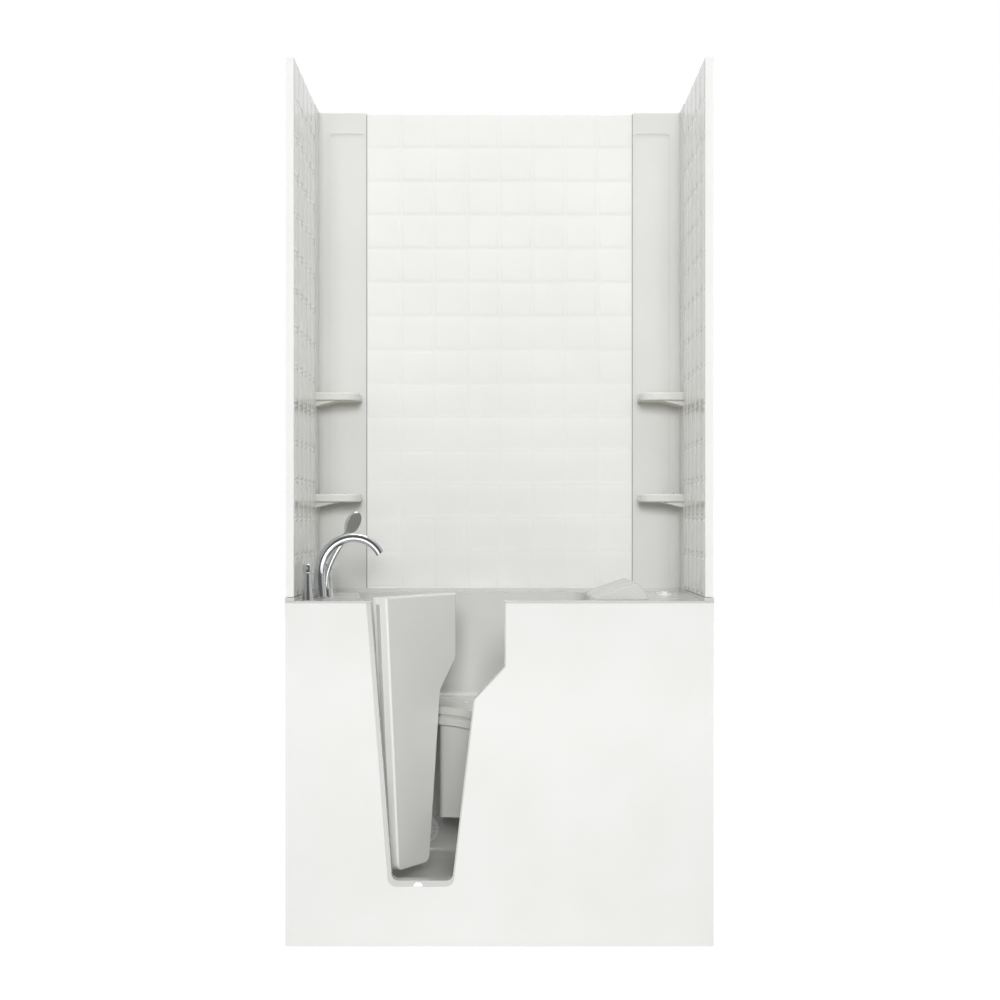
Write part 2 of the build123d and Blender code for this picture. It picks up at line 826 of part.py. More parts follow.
overflow_low = waste_branch_height + 2 * overflow_pipe_radius
with BuildPart() as overflow_pipe:
    with BuildSketch(Plane.XY.offset(overflow_low)):
        with Locations((drain_x, overflow_pipe_y)):
            Circle(overflow_pipe_radius)
    extrude(amount=overflow_height - overflow_low)
    with Locations((drain_x, overflow_pipe_y, overflow_height)):
        Sphere(overflow_pipe_radius)
    with BuildSketch(front_plane(overflow_pipe_y)):
        with Locations((drain_x, overflow_height)):
            Circle(overflow_pipe_radius)
    extrude(amount=overflow_pipe_y - basin_back_y)
    with BuildSketch(front_plane(outer_wall_y + 5)):
        with Locations((drain_x, overflow_height)):
            Circle(overflow_pipe_radius + 7)
    extrude(amount=5)
    with BuildSketch(front_plane(overflow_pipe_y)):
        with Locations((drain_x, overflow_height)):
            Circle(overflow_pipe_radius - waste_pipe_wall)
    extrude(amount=overflow_pipe_y, mode=Mode.SUBTRACT)
    with BuildSketch(Plane.XY.offset(overflow_low)):
        with Locations((drain_x, overflow_pipe_y)):
            Circle(overflow_pipe_radius - waste_pipe_wall)
    extrude(amount=overflow_height - overflow_low, mode=Mode.SUBTRACT)
keep(overflow_pipe, "overflow_pipe")

knob_face_y = basin_back_y - overflow_plate_thickness
with BuildPart() as overflow_plate:
    with BuildSketch(front_plane(basin_back_y)):
        with Locations((drain_x, overflow_height)):
            Circle(overflow_plate_radius)
            Circle(spindle_radius + spindle_clearance, mode=Mode.SUBTRACT)
            with PolarLocations(overflow_pipe_radius - 5, overflow_slot_count):
                Circle(2, mode=Mode.SUBTRACT)
    extrude(amount=overflow_plate_thickness)
    fillet(overflow_plate.edges().group_by(Axis.Y)[0].sort_by(SortBy.LENGTH)[-1], radius=2)
keep(overflow_plate, "overflow_plate")

with BuildPart() as overflow_knob:
    with BuildSketch(front_plane(knob_face_y - plug_gap)):
        with Locations((drain_x, overflow_height)):
            Circle(overflow_knob_radius)
            with PolarLocations(overflow_knob_radius + 2, 8):
                Circle(5, mode=Mode.SUBTRACT)
    extrude(amount=overflow_knob_height)
    fillet(overflow_knob.edges().group_by(Axis.Y)[0], radius=1.5)
    with BuildSketch(front_plane(basin_back_y)):
        with Locations((drain_x, overflow_height)):
            Circle(spindle_radius)
    extrude(amount=overflow_plate_thickness + plug_gap)
keep(overflow_knob, "overflow_knob")


def cut_round(plane, radius, low, high):
    """Cut a round hole along a plane's axis, from low to high."""
    with BuildSketch(plane.offset(low), mode=Mode.PRIVATE) as disc:
        Circle(radius)
    extrude(disc.sketch, amount=high - low, mode=Mode.SUBTRACT)


def add_round(plane, radius, low, high):
    """Add a round boss along a plane's axis, from low to high."""
    with BuildSketch(plane.offset(low), mode=Mode.PRIVATE) as disc:
        Circle(radius)
    extrude(disc.sketch, amount=high - low)


def trunnion_plane(jet):
    """The tilting axis of a jet's ball, across the jet and through the ball's centre."""
    return Plane(origin=jet.offset(-jet_ball_setback).origin, x_dir=jet.z_dir, z_dir=jet.x_dir)


# Jets: a body behind the wall, a ring on the wall's face and a ball nozzle that tilts in the ring
ring_collar = jet_ball_setback + jet_ball_radius * 0.5
with BuildPart() as jet_bodies:
    for jet in jets:
        add_round(jet, jet_barrel_radius, -shell_wall - jet_barrel_length, 0)
        add_round(jet, jet_flange_radius, -shell_wall - jet_flange_thickness, -shell_wall)
    for jet in jets:
        cut_round(jet, jet_throat_radius, -shell_wall - jet_barrel_length + 4, 1)
keep(jet_bodies, "jet_bodies")

with BuildPart() as jet_rings:
    for jet in jets:
        add_round(jet, jet_ring_radius, 0, jet_ring_thickness)
        add_round(jet, jet_collar_radius, -ring_collar, 0)
    for jet in jets:
        wide_rims = jet_rings.edges().filter_by(
            lambda edge: edge.geom_type == GeomType.CIRCLE and edge.radius > jet_ring_radius - 0.1
        )
        fillet(wide_rims.sort_by_distance(jet.offset(2 * jet_ring_radius).origin)[0], radius=2.5)
    for jet in jets:
        cut_round(jet, jet_socket_radius, -ring_collar - 1, jet_ring_thickness + 1)
        pivot = trunnion_plane(jet)
        cut_round(pivot, jet_trunnion_radius + jet_trunnion_clearance, -jet_throat_radius, jet_throat_radius)
keep(jet_rings, "jet_rings")

for number, jet in enumerate(jets, start=1):
    centre = jet.offset(-jet_ball_setback)
    with BuildPart() as jet_nozzle:
        with Locations(centre):
            Sphere(jet_ball_radius)
        add_round(centre, jet_snout_radius, 0, jet_snout_reach)
        add_round(trunnion_plane(jet), jet_trunnion_radius, -jet_trunnion_reach, jet_trunnion_reach)
        cut_round(centre, jet_bore_radius, -2 * jet_ball_radius, 2 * jet_ball_radius)
    keep(jet_nozzle, f"jet_nozzle_{number}")


# Water manifold: the pump's outlet riser, the run behind the walls and the branch to the foot jets
manifold_z = jet_height - manifold_drop
manifold_y = outer_wall_y + manifold_setback
manifold_x = basin_right_x + shell_wall + manifold_setback
riser_x = pump_x + pump_volute_radius - outlet_radius
riser_y = pump_y + pump_volute_width / 2
foot_branch_x = jet_foot_x - foot_branch_offset
riser_turn_z = (seat_height + manifold_z) / 2 - 90


def add_pipe(points, radius, bend=0.0):
    """A solid pipe that follows points with rounded bends."""
    with BuildLine(mode=Mode.PRIVATE) as route:
        if len(points) == 2:
            Line(*points)
        else:
            FilletPolyline(*points, radius=bend)
    start = Plane(origin=route.line @ 0, z_dir=route.line % 0)
    with BuildSketch(start, mode=Mode.PRIVATE) as section:
        Circle(radius)
    sweep(section.sketch, path=route.line)


with BuildPart() as water_manifold:
    add_pipe(
        [
            (foot_branch_x, manifold_y, jet_foot_heights[0]),
            (foot_branch_x, manifold_y, manifold_z),
            (manifold_x, manifold_y, manifold_z),
            (manifold_x, jet_side_positions[0], manifold_z),
        ],
        manifold_radius, manifold_bend_radius,
    )
    add_pipe(
        [
            (riser_x, riser_y, pump_axis_height),
            (riser_x, riser_y, riser_turn_z),
            (riser_x, manifold_y, riser_turn_z),
            (riser_x, manifold_y, manifold_z),
        ],
        manifold_radius, manifold_bend_radius,
    )
    for x in jet_rear_positions:
        add_pipe([(x, manifold_y, manifold_z), (x, manifold_y, jet_height)], branch_radius)
    for y in jet_side_positions:
        add_pipe([(manifold_x, y, manifold_z), (manifold_x, y, jet_height)], branch_radius)
    for z in jet_foot_heights:
        add_pipe([(foot_branch_x, manifold_y, z), (jet_foot_x, manifold_y, z)], branch_radius)
    for jet in jets:
        cut_round(jet, jet_barrel_radius, -shell_wall - jet_barrel_length, 0)
    with Locations((pump_x, pump_y + pump_volute_width / 2, pump_axis_height)):
        Cylinder(
            pump_volute_radius, pump_volute_width + manifold_radius * 4,
            rotation=(90, 0, 0), mode=Mode.SUBTRACT,
        )
keep(water_manifold, "water_manifold")


# Suction: slotted cover on the footwell wall and the pipe to the pump's inlet
with BuildPart() as suction_cover:
    add_round(suction_plane, suction_cover_radius, 0, suction_cover_thickness)
    fillet(suction_cover.edges().group_by(Axis.Y)[0], radius=3)
    cut_round(suction_plane, suction_cover_radius - 3, -1, suction_cover_thickness - 3)
    for ring in range(suction_slot_rings):
        slot_radius = suction_cover_radius * (0.36 + 0.28 * ring)
        with BuildSketch(suction_plane, mode=Mode.PRIVATE) as slots:
            with PolarLocations(slot_radius, 8 + 6 * ring):
                Circle(3)
        extrude(slots.sketch, amount=suction_cover_thickness + 1, mode=Mode.SUBTRACT)
keep(suction_cover, "suction_cover")

inlet_y = pump_y + pump_volute_width
with BuildPart() as suction_pipe:
    add_pipe(
        [
            (suction_x, basin_back_y, suction_height),
            (suction_x, outer_wall_y + suction_bend_radius + 1, suction_height),
            (pump_x, outer_wall_y + suction_bend_radius + 1, suction_height),
            (pump_x, outer_wall_y + suction_bend_radius + 1 - 3 * suction_bend_radius, suction_height - 40),
            (pump_x, inlet_y + suction_bend_radius * 2, pump_axis_height),
            (pump_x, inlet_y, pump_axis_height),
        ],
        suction_pipe_radius, suction_bend_radius,
    )
keep(suction_pipe, "suction_pipe")


# Circulation pump under the seat
pump_back = Plane(origin=(pump_x, inlet_y, pump_axis_height), x_dir=(1, 0, 0), z_dir=(0, -1, 0))
with BuildPart() as pump_housing:
    add_round(pump_back, pump_volute_radius, 0, pump_volute_width)
    cut_round(pump_back, impeller_radius + 4, pump_wall + 2, pump_volute_width - pump_wall)
    cut_round(pump_back, suction_pipe_radius - 3, -1, pump_wall + 4)
    shaft_wall = pump_volute_width - pump_wall
    cut_round(pump_back, shaft_radius + shaft_clearance, shaft_wall - 1, pump_volute_width + 1)
    with Locations((pump_x, pump_y + pump_volute_width / 2, post_base_z + pump_foot_thickness / 2)):
        Box(pump_foot_length, pump_volute_width, pump_foot_thickness)
    web_top = pump_axis_height - pump_volute_radius + 8
    with Locations((pump_x, pump_y + pump_volute_width / 2, (post_base_z + web_top) / 2)):
        Box(pump_volute_radius, pump_volute_width, web_top - post_base_z)
keep(pump_housing, "pump_housing")

impeller_start = pump_wall + 2 + 6
with BuildPart() as pump_impeller:
    add_round(pump_back, impeller_radius, impeller_start, impeller_start + 3)
    add_round(pump_back, shaft_radius + 4, impeller_start, impeller_start + impeller_width)
    for blade in range(impeller_blades):
        angle = 2 * pi * blade / impeller_blades
        middle = (impeller_radius + shaft_radius) / 2
        place = (
            pump_x + middle * cos(angle),
            inlet_y - impeller_start - impeller_width / 2,
            pump_axis_height + middle * sin(angle),
        )
        with Locations(Location(place, (0, -360 * blade / impeller_blades, 0))):
            Box(impeller_radius - shaft_radius, impeller_width, 3)
    add_round(pump_back, shaft_radius, impeller_start, pump_volute_width + 20)
keep(pump_impeller, "pump_impeller")

with BuildPart() as pump_motor:
    add_round(pump_back, motor_radius, pump_volute_width, pump_volute_width + motor_length)
    with BuildSketch(pump_back.offset(pump_volute_width + 10), mode=Mode.PRIVATE) as fins:
        with PolarLocations(motor_radius, motor_fins):
            Rectangle(8, 3)
    extrude(fins.sketch, amount=motor_length - 30)
    cut_round(pump_back, shaft_radius + shaft_clearance, pump_volute_width - 1, pump_volute_width + 24)
    with Locations((pump_x, pump_y - motor_length / 2, (post_base_z + pump_axis_height) / 2)):
        Box(motor_radius, motor_length / 2, pump_axis_height - post_base_z)
keep(pump_motor, "pump_motor")


# Air blower, its pipe under the seat and the control box
blower_top = post_base_z + blower_height
with BuildPart() as blower_housing:
    with Locations((blower_x, blower_y, post_base_z + blower_height / 2)):
        Cylinder(blower_radius, blower_height)
    with Locations((blower_x, blower_y, post_base_z + blower_height / 2)):
        Cylinder(blower_radius - blower_wall, blower_height - 2 * blower_wall, mode=Mode.SUBTRACT)
    with Locations((blower_x, blower_y, blower_top + 12)):
        Cylinder(air_pipe_radius + 3, 24)
    with Locations((blower_x, blower_y, blower_top)):
        Cylinder(air_pipe_radius - 2, 80, mode=Mode.SUBTRACT)
    with Locations((blower_x, blower_y, post_base_z + blower_wall + 12)):
        Cylinder(shaft_radius, 24)
    with BuildSketch(Plane.XY.offset(post_base_z + 20), mode=Mode.PRIVATE) as vents:
        with Locations((blower_x, blower_y)):
            with PolarLocations(blower_radius, 12):
                Rectangle(10, 6)
    extrude(vents.sketch, amount=24, mode=Mode.SUBTRACT)
keep(blower_housing, "blower_housing")

fan_base = post_base_z + blower_wall + 30
with BuildPart() as blower_fan:
    with Locations((blower_x, blower_y, fan_base + 2)):
        Cylinder(blower_fan_radius, 4)
    with Locations((blower_x, blower_y, fan_base - 2)):
        Cylinder(shaft_radius + 6, 16)
    with BuildSketch(Plane.XY.offset(fan_base), mode=Mode.PRIVATE) as blades:
        with Locations((blower_x, blower_y)):
            with PolarLocations(blower_fan_radius * 0.72, blower_fan_blades):
                Rectangle(22, 3)
    extrude(blades.sketch, amount=blower_fan_height)
    with Locations((blower_x, blower_y, fan_base - 14)):
        Cylinder(shaft_radius + shaft_clearance, 2 * 18, mode=Mode.SUBTRACT)
keep(blower_fan, "blower_fan")

with BuildPart() as air_manifold:
    add_pipe(
        [
            (blower_x, blower_y, blower_top + 24),
            (blower_x, blower_y, air_pipe_height),
            (air_nozzle_positions[0] - 10, air_line_y, air_pipe_height),
        ],
        air_pipe_radius, 2 * air_pipe_radius,
    )
    with Locations(*[(x, air_line_y, air_pipe_height) for x in air_nozzle_positions]):
        Cylinder(
            air_nozzle_radius, seat_height - air_pipe_height,
            align=(Align.CENTER, Align.CENTER, Align.MIN),
        )
    with Locations(*[(x, air_line_y, seat_height) for x in air_nozzle_positions]):
        Cylinder(air_nozzle_head, 2, align=(Align.CENTER, Align.CENTER, Align.MIN))
keep(air_manifold, "air_manifold")

box_x = side_line_x - tube_size / 2 - control_box_width / 2
box_y = front_line_y - tube_size / 2 + control_box_depth / 2
with BuildPart() as control_box:
    with Locations((box_x, box_y, control_box_base + control_box_height / 2)):
        Box(control_box_width, control_box_depth, control_box_height)
    fillet(control_box.edges().filter_by(Axis.Z), radius=6)
keep(control_box, "control_box")


# Deck controls: a plate with three barrels, two air buttons and an air knob
with BuildPart() as control_plate:
    with BuildSketch(Plane.XY.offset(rim_height)):
        with Locations((control_x, control_y)):
            RectangleRounded(control_plate_width, control_plate_length, control_plate_width / 2 - 1)
    extrude(amount=control_plate_height)
    fillet(control_plate.edges().group_by(Axis.Z)[-1], radius=1.2)
    with BuildSketch(Plane.XY.offset(rim_height - switch_barrel_length)):
        with Locations(*[(control_x, y) for y in control_ys]):
            Circle(switch_barrel_radius)
    extrude(amount=switch_barrel_length)
    with BuildSketch(Plane.XY.offset(rim_height - switch_barrel_length + 4)):
        with Locations(*[(control_x, y) for y in control_ys]):
            Circle(button_radius + button_clearance)
    extrude(amount=2 * switch_barrel_length, mode=Mode.SUBTRACT)
keep(control_plate, "control_plate")

button_top = rim_height + control_plate_height + button_proud
barrel_floor = rim_height - switch_barrel_length + 4


def make_button(y):
    """A push button that slides in its barrel."""
    with BuildPart() as button:
        with Locations((control_x, y, button_top)):
            Cylinder(button_radius, 12, align=(Align.CENTER, Align.CENTER, Align.MAX))
        fillet(button.edges().group_by(Axis.Z)[-1], radius=1.5)
        with Locations((control_x, y, button_top - 12)):
            stem_length = button_top - 12 - barrel_floor - button_travel - 0.5
            Cylinder(button_stem_radius, stem_length, align=(Align.CENTER, Align.CENTER, Align.MAX))
    return button


for label, y in (("pump_button", control_ys[2]), ("blower_button", control_ys[1])):
    keep(make_button(y), label)

with BuildPart() as air_knob:
    with BuildSketch(Plane.XY.offset(rim_height + control_plate_height - 4)):
        with Locations((control_x, control_ys[0])):
            Circle(button_radius)
            with PolarLocations(button_radius + 1, 10):
                Circle(1.6, mode=Mode.SUBTRACT)
    extrude(amount=air_knob_height)
    fillet(air_knob.edges().group_by(Axis.Z)[-1], radius=1)
    with Locations((control_x, control_ys[0], barrel_floor + 0.3)):
        stem_length = rim_height + control_plate_height - 4 - barrel_floor - 0.3
        Cylinder(button_stem_radius, stem_length, align=(Align.CENTER, Align.CENTER, Align.MIN))
keep(air_knob, "air_knob")


# Door, drawn in its own plane and standing open
door_core = door_thickness - door_wall
with BuildPart() as door_outer_panel:
    with BuildSketch(swing_plane(door_wall)):
        with BuildLine():
            door_outline()
        make_face()
    extrude(amount=door_core)
    front_face = door_outer_panel.faces().sort_by(Axis(swing_plane(0).origin, swing_plane(0).z_dir))[-1]
    fillet(front_face.edges(), radius=door_edge_radius)
    with BuildSketch(swing_plane(door_wall)):
        with BuildLine():
            door_outline(door_wall, door_wall)
        make_face()
    extrude(amount=door_core - door_wall, mode=Mode.SUBTRACT)
    with BuildSketch(swing_plane(seal_inset)):
        with BuildLine():
            door_outline(-door_wall, -door_wall)
        make_face()
        with BuildLine():
            door_outline(seal_groove, -2 * door_wall)
        make_face(mode=Mode.SUBTRACT)
    extrude(amount=seal_width, mode=Mode.SUBTRACT)
    bolt_plane = swing_plane(bolt_face_distance)
    edge_u = doorway_right_x - frame_inset_right - door_gap - hinge_x
    with BuildSketch(bolt_plane):
        with Locations((edge_u, latch_height)):
            Rectangle(4 * door_wall, bolt_size + 2 * bolt_clearance)
    extrude(amount=bolt_size + bolt_clearance, mode=Mode.SUBTRACT)
keep(door_outer_panel, "door_outer_panel")

latch_u = edge_u - latch_edge_distance
spindle_plane = swing_plane(0)
with BuildPart() as door_inner_panel:
    with BuildSketch(swing_plane(0)):
        with BuildLine():
            door_outline()
        make_face()
    extrude(amount=door_wall)
    with BuildSketch(swing_plane(door_wall)):
        with BuildLine():
            door_outline(door_wall + door_fit, door_wall + door_fit)
        make_face()
        with BuildLine():
            door_outline(2 * door_wall + door_fit, 2 * door_wall + door_fit)
        make_face(mode=Mode.SUBTRACT)
    extrude(amount=2 * door_wall)
    guide_low = edge_u - door_wall - 2 - bolt_length * 0.6
    guide_width = bolt_length * 0.55
    with BuildSketch(swing_plane(door_wall)):
        with Locations((guide_low + guide_width / 2, latch_height)):
            Rectangle(guide_width, bolt_size + 2 * bolt_clearance + 6)
    extrude(amount=bolt_face_distance + bolt_size + 3 - door_wall)
    with BuildSketch(bolt_plane):
        with Locations((edge_u - bolt_length / 2, latch_height)):
            Rectangle(bolt_length * 1.6, bolt_size + 2 * bolt_clearance)
    extrude(amount=bolt_size + bolt_clearance, mode=Mode.SUBTRACT)
    with BuildSketch(swing_plane(-1)):
        with Locations((latch_u, latch_height)):
            Circle(spindle_radius + spindle_clearance)
    extrude(amount=bolt_face_distance, mode=Mode.SUBTRACT)
keep(door_inner_panel, "door_inner_panel")

with BuildPart() as door_seal:
    with BuildSketch(swing_plane(seal_inset)):
        with BuildLine():
            door_outline(-seal_proud, 20)
        make_face()
        with BuildLine():
            door_outline(seal_groove, 19)
        make_face(mode=Mode.SUBTRACT)
        with Locations((edge_u / 2, rim_height)):
            Rectangle(edge_u - 20, 60, mode=Mode.SUBTRACT)
    extrude(amount=seal_width)
keep(door_seal, "door_seal")

with BuildPart() as latch_handle:
    with BuildSketch(swing_plane(-latch_stand_off)):
        with Locations((latch_u, latch_height)):
            Circle(latch_boss_radius)
    extrude(amount=-latch_boss_height)
    with BuildSketch(swing_plane(-latch_stand_off - latch_boss_height + latch_lever_thickness)):
        with Locations((latch_u, latch_height - latch_lever_length / 2)):
            SlotCenterToCenter(latch_lever_length, latch_lever_width, rotation=90)
    extrude(amount=-latch_lever_thickness)
    handle_face = latch_handle.faces().sort_by(Axis(swing_plane(0).origin, swing_plane(0).z_dir))[0]
    fillet(handle_face.edges(), radius=2)
    with BuildSketch(swing_plane(-latch_stand_off)):
        with Locations((latch_u, latch_height)):
            Circle(spindle_radius)
    extrude(amount=bolt_face_distance - 2)
keep(latch_handle, "latch_handle")

with BuildPart() as latch_bolt:
    with BuildSketch(swing_plane(bolt_face_distance + bolt_clearance)):
        with Locations((edge_u - 0.5 - bolt_length / 2, latch_height)):
            Rectangle(bolt_length, bolt_size)
    extrude(amount=bolt_size - bolt_clearance)
keep(latch_bolt, "latch_bolt")


# Hinges: the door's leaves with the middle knuckle, the jamb's leaves with outer knuckles and the pin
knuckle_length = (hinge_length - 2 * hinge_knuckle_gap) / 3
with BuildPart() as door_hinges:
    for z in hinge_heights:
        with BuildSketch(swing_plane(0)):
            with Locations((hinge_leaf_reach / 2, z)):
                Rectangle(hinge_leaf_reach, knuckle_length)
        extrude(amount=-hinge_leaf_thickness)
        with BuildSketch(swing_plane(0)):
            with Locations((hinge_leaf_reach * 0.72, z)):
                Rectangle(hinge_leaf_reach * 0.56, hinge_length)
        extrude(amount=-hinge_leaf_thickness)
        with Locations((hinge_x, hinge_y, z)):
            Cylinder(hinge_barrel_radius, knuckle_length)
        with Locations((hinge_x, hinge_y, z)):
            Cylinder(hinge_pin_radius + hinge_pin_clearance, hinge_length, mode=Mode.SUBTRACT)
keep(door_hinges, "door_hinges")

leaf_left = basin_left_front_x + hinge_corner_radius
with BuildPart() as jamb_hinges:
    for z in hinge_heights:
        knuckle_step = knuckle_length + hinge_knuckle_gap
        leaf_right = left_edge_at(z + hinge_length / 2) + frame_inset_left - 2
        with Locations(((leaf_left + leaf_right) / 2, basin_front_y + hinge_leaf_thickness / 2, z)):
            Box(leaf_right - leaf_left, hinge_leaf_thickness, hinge_length)
        with Locations((hinge_x, hinge_y, z)):
            Box(
                2 * hinge_barrel_radius + 2, 2 * hinge_barrel_radius + 2,
                knuckle_length + 2 * hinge_knuckle_gap, mode=Mode.SUBTRACT,
            )
        with Locations((hinge_x, hinge_y, z - knuckle_step), (hinge_x, hinge_y, z + knuckle_step)):
            Cylinder(hinge_barrel_radius, knuckle_length)
        with Locations((hinge_x, hinge_y, z)):
            Cylinder(hinge_pin_radius, hinge_length)
keep(jamb_hinges, "jamb_hinges")

catch_x = doorway_foot_left_x + catch_offset
with BuildPart() as threshold_catch:
    with BuildSketch(front_plane(apron_back_y)):
        with Locations((catch_x, doorway_sill)):
            Circle(catch_radius)
            with Locations((0, -catch_radius)):
                Rectangle(4 * catch_radius, 2 * catch_radius + 0.6, mode=Mode.SUBTRACT)
    extrude(amount=catch_thickness)
    with Locations((catch_x, apron_back_y, doorway_sill + catch_dome_radius + 0.5)):
        Cylinder(
            catch_dome_radius, catch_thickness + 1.5, rotation=(90, 0, 0),
            align=(Align.CENTER, Align.CENTER, Align.MIN),
        )
keep(threshold_catch, "threshold_catch")


# Wall surround: tiled back and side panels between two corner columns with moulded shelves
centre_width = 2 * centre_half_width - 2 * panel_joint_gap
with BuildPart() as back_wall_panel:
    centre_height = overall_height - centre_panel_drop - surround_base
    with Locations((0, back_y - panel_thickness / 2, surround_base + centre_height / 2)):
        Box(centre_width, panel_thickness, centre_height)
    fillet(back_wall_panel.edges().group_by(Axis.Y)[0], radius=panel_edge_radius)
    with BuildSketch(front_plane(wall_face_y + grout_depth)):
        for column in range(1, tile_columns):
            with Locations(((column - tile_columns / 2) * tile_pitch_x, surround_base + centre_height / 2)):
                Rectangle(grout_width, centre_height)
        for row in range(1, tile_rows):
            with Locations((0, surround_base + centre_height - (tile_rows - row) * tile_pitch_z)):
                Rectangle(centre_width, grout_width)
    extrude(amount=2 * grout_depth, mode=Mode.SUBTRACT)
keep(back_wall_panel, "back_wall_panel")

side_length = side_joint_y - front_y - panel_joint_gap
side_height = overall_height - surround_base


def make_side_panel(side):
    """A tiled side panel, on the left for -1 and on the right for 1."""
    middle = (0, front_y + side_length / 2, surround_base + side_height / 2)
    with BuildPart() as panel:
        with Locations((side * (panel_outer_x - panel_thickness / 2), middle[1], middle[2])):
            Box(panel_thickness, side_length, side_height)
        fillet(panel.edges().group_by(Axis.Y)[0], radius=panel_edge_radius)
        face = Plane(origin=(side * panel_inner_x, 0, 0), x_dir=(0, 1, 0), z_dir=(side, 0, 0))
        with BuildSketch(face.offset(-grout_depth)):
            for column in range(1, round(side_length / side_tile_pitch)):
                with Locations((front_y + column * side_tile_pitch, side * middle[2])):
                    Rectangle(grout_width, side_height - 2 * panel_edge_radius)
            for row in range(1, tile_rows):
                row_z = overall_height - (tile_rows - row) * tile_pitch_z - centre_panel_drop
                with Locations((middle[1], side * row_z)):
                    Rectangle(side_length, grout_width)
        extrude(amount=2 * grout_depth, mode=Mode.SUBTRACT)
    return panel


for side, label in ((-1, "left_wall_panel"), (1, "right_wall_panel")):
    keep(make_side_panel(side), label)


def make_corner_column(side):
    """A smooth corner column with a shallow niche field and two moulded shelves."""
    height = overall_height - surround_base
    inner_x = side * panel_inner_x
    leg_x = side * centre_half_width
    corner = (inner_x, wall_face_y)
    with BuildPart() as column:
        with BuildSketch(Plane.XY.offset(surround_base)):
            with BuildLine():
                Polyline(
                    (side * panel_outer_x, side_joint_y),
                    (side * panel_outer_x, back_y),
                    (leg_x, back_y),
                    (leg_x, wall_face_y),
                    corner,
                    (inner_x, side_joint_y),
                    close=True,
                )
            make_face()
        extrude(amount=height)
        cove = column.edges().filter_by(Axis.Z).sort_by_distance((*corner, surround_base + height / 2))[0]
        fillet(cove, radius=corner_cove_radius)
        niche_width = corner_back_leg - niche_corner_margin - niche_joint_margin
        niche_low = surround_base + niche_bottom_margin
        niche_height = overall_height - niche_top_margin - niche_low
        niche_x = leg_x + side * (niche_joint_margin + niche_width / 2)
        with BuildSketch(front_plane(wall_face_y + niche_depth)):
            with Locations((niche_x, niche_low + niche_height / 2)):
                RectangleRounded(niche_width, niche_height, niche_radius)
        extrude(amount=2 * niche_depth, mode=Mode.SUBTRACT)
        for top in shelf_heights:
            add_shelf(side, top)
    return column


def add_shelf(side, top):
    """One moulded shelf: a flat lip, a tapered web under it and low ribs on top."""
    inner_x = side * panel_inner_x
    front = wall_face_y - shelf_depth
    back = wall_face_y + niche_depth + 1
    with BuildSketch(Plane.XY.offset(top - shelf_thickness), mode=Mode.PRIVATE) as plan:
        with BuildLine():
            Polyline(
                (inner_x + side * 2, front),
                (inner_x + side * 2, back),
                (inner_x - side * shelf_length, back),
                (inner_x - side * shelf_length, front),
                close=True,
            )
        make_face()
        nose = plan.vertices().sort_by_distance((inner_x - side * shelf_length, front))[0]
        fillet(nose, radius=shelf_nose_radius)
    with BuildPart(mode=Mode.PRIVATE) as shelf:
        extrude(plan.sketch, amount=shelf_thickness)
        fillet(shelf.edges().group_by(Axis.Z)[-1], radius=5)
        fillet(shelf.edges().group_by(Axis.Z)[0], radius=5)
    add(shelf.part)
    with BuildSketch(front_plane(back), mode=Mode.PRIVATE) as web:
        with BuildLine():
            Polyline(
                (inner_x + side * 2, top - shelf_thickness + 6),
                (inner_x + side * 2, top - shelf_thickness - shelf_web_drop),
                (inner_x - side * (shelf_length - shelf_nose_radius), top - shelf_thickness + 6),
                close=True,
            )
        make_face()
    extrude(web.sketch, amount=shelf_depth - 8)
    rib_span = shelf_length - shelf_nose_radius
    for rib in range(shelf_rib_count):
        rib_x = inner_x - side * rib_span * (rib + 0.7) / shelf_rib_count
        with Locations((rib_x, wall_face_y - shelf_depth / 2, top + shelf_rib_height / 2 - 1)):
            Box(shelf_rib_width, shelf_depth * 0.6, shelf_rib_height + 2)


for side, label in ((-1, "left_corner_column"), (1, "right_corner_column")):
    keep(make_corner_column(side), label)


# Neck rest on the right deck
neck_x = basin_right_x + 3
neck_y = front_y + neck_rest_front_margin
crest_z = rim_height + neck_rest_crest
crest_x = neck_x + neck_rest_width - neck_rest_crest_offset
with BuildPart() as neck_rest:
    with BuildSketch(front_plane(neck_y + neck_rest_length)):
        with BuildLine():
            FilletPolyline(
                (neck_x, rim_height),
                (neck_x + neck_rest_width, rim_height),
                (crest_x, crest_z + 4),
                (neck_x + 4, rim_height + 5),
                radius=[0, 0, 16, 3],
                close=True,
            )
        make_face()
    extrude(amount=neck_rest_length)
    for group in (0, -1):
        end = neck_rest.edges().group_by(Axis.Y)[group]
        fillet(end.filter_by(lambda edge: edge.center().Z > rim_height + 1), radius=neck_rest_edge_radius)
keep(neck_rest, "neck_rest")


# Tap set on the left deck
def tap_plane(x, depth):
    """The deck plane under a tap."""
    return Plane(origin=(x, front_y + depth, rim_height), z_dir=(0, 0, 1))


def add_shank(plane):
    """The threaded shank through the deck and its nut below."""
    add_round(plane, tap_shank_radius, -tap_shank_length, 1)
    with BuildSketch(plane.offset(-deck_thickness - tap_nut_height), mode=Mode.PRIVATE) as nut:
        RegularPolygon(tap_nut_radius, 6)
    extrude(nut.sketch, amount=tap_nut_height)


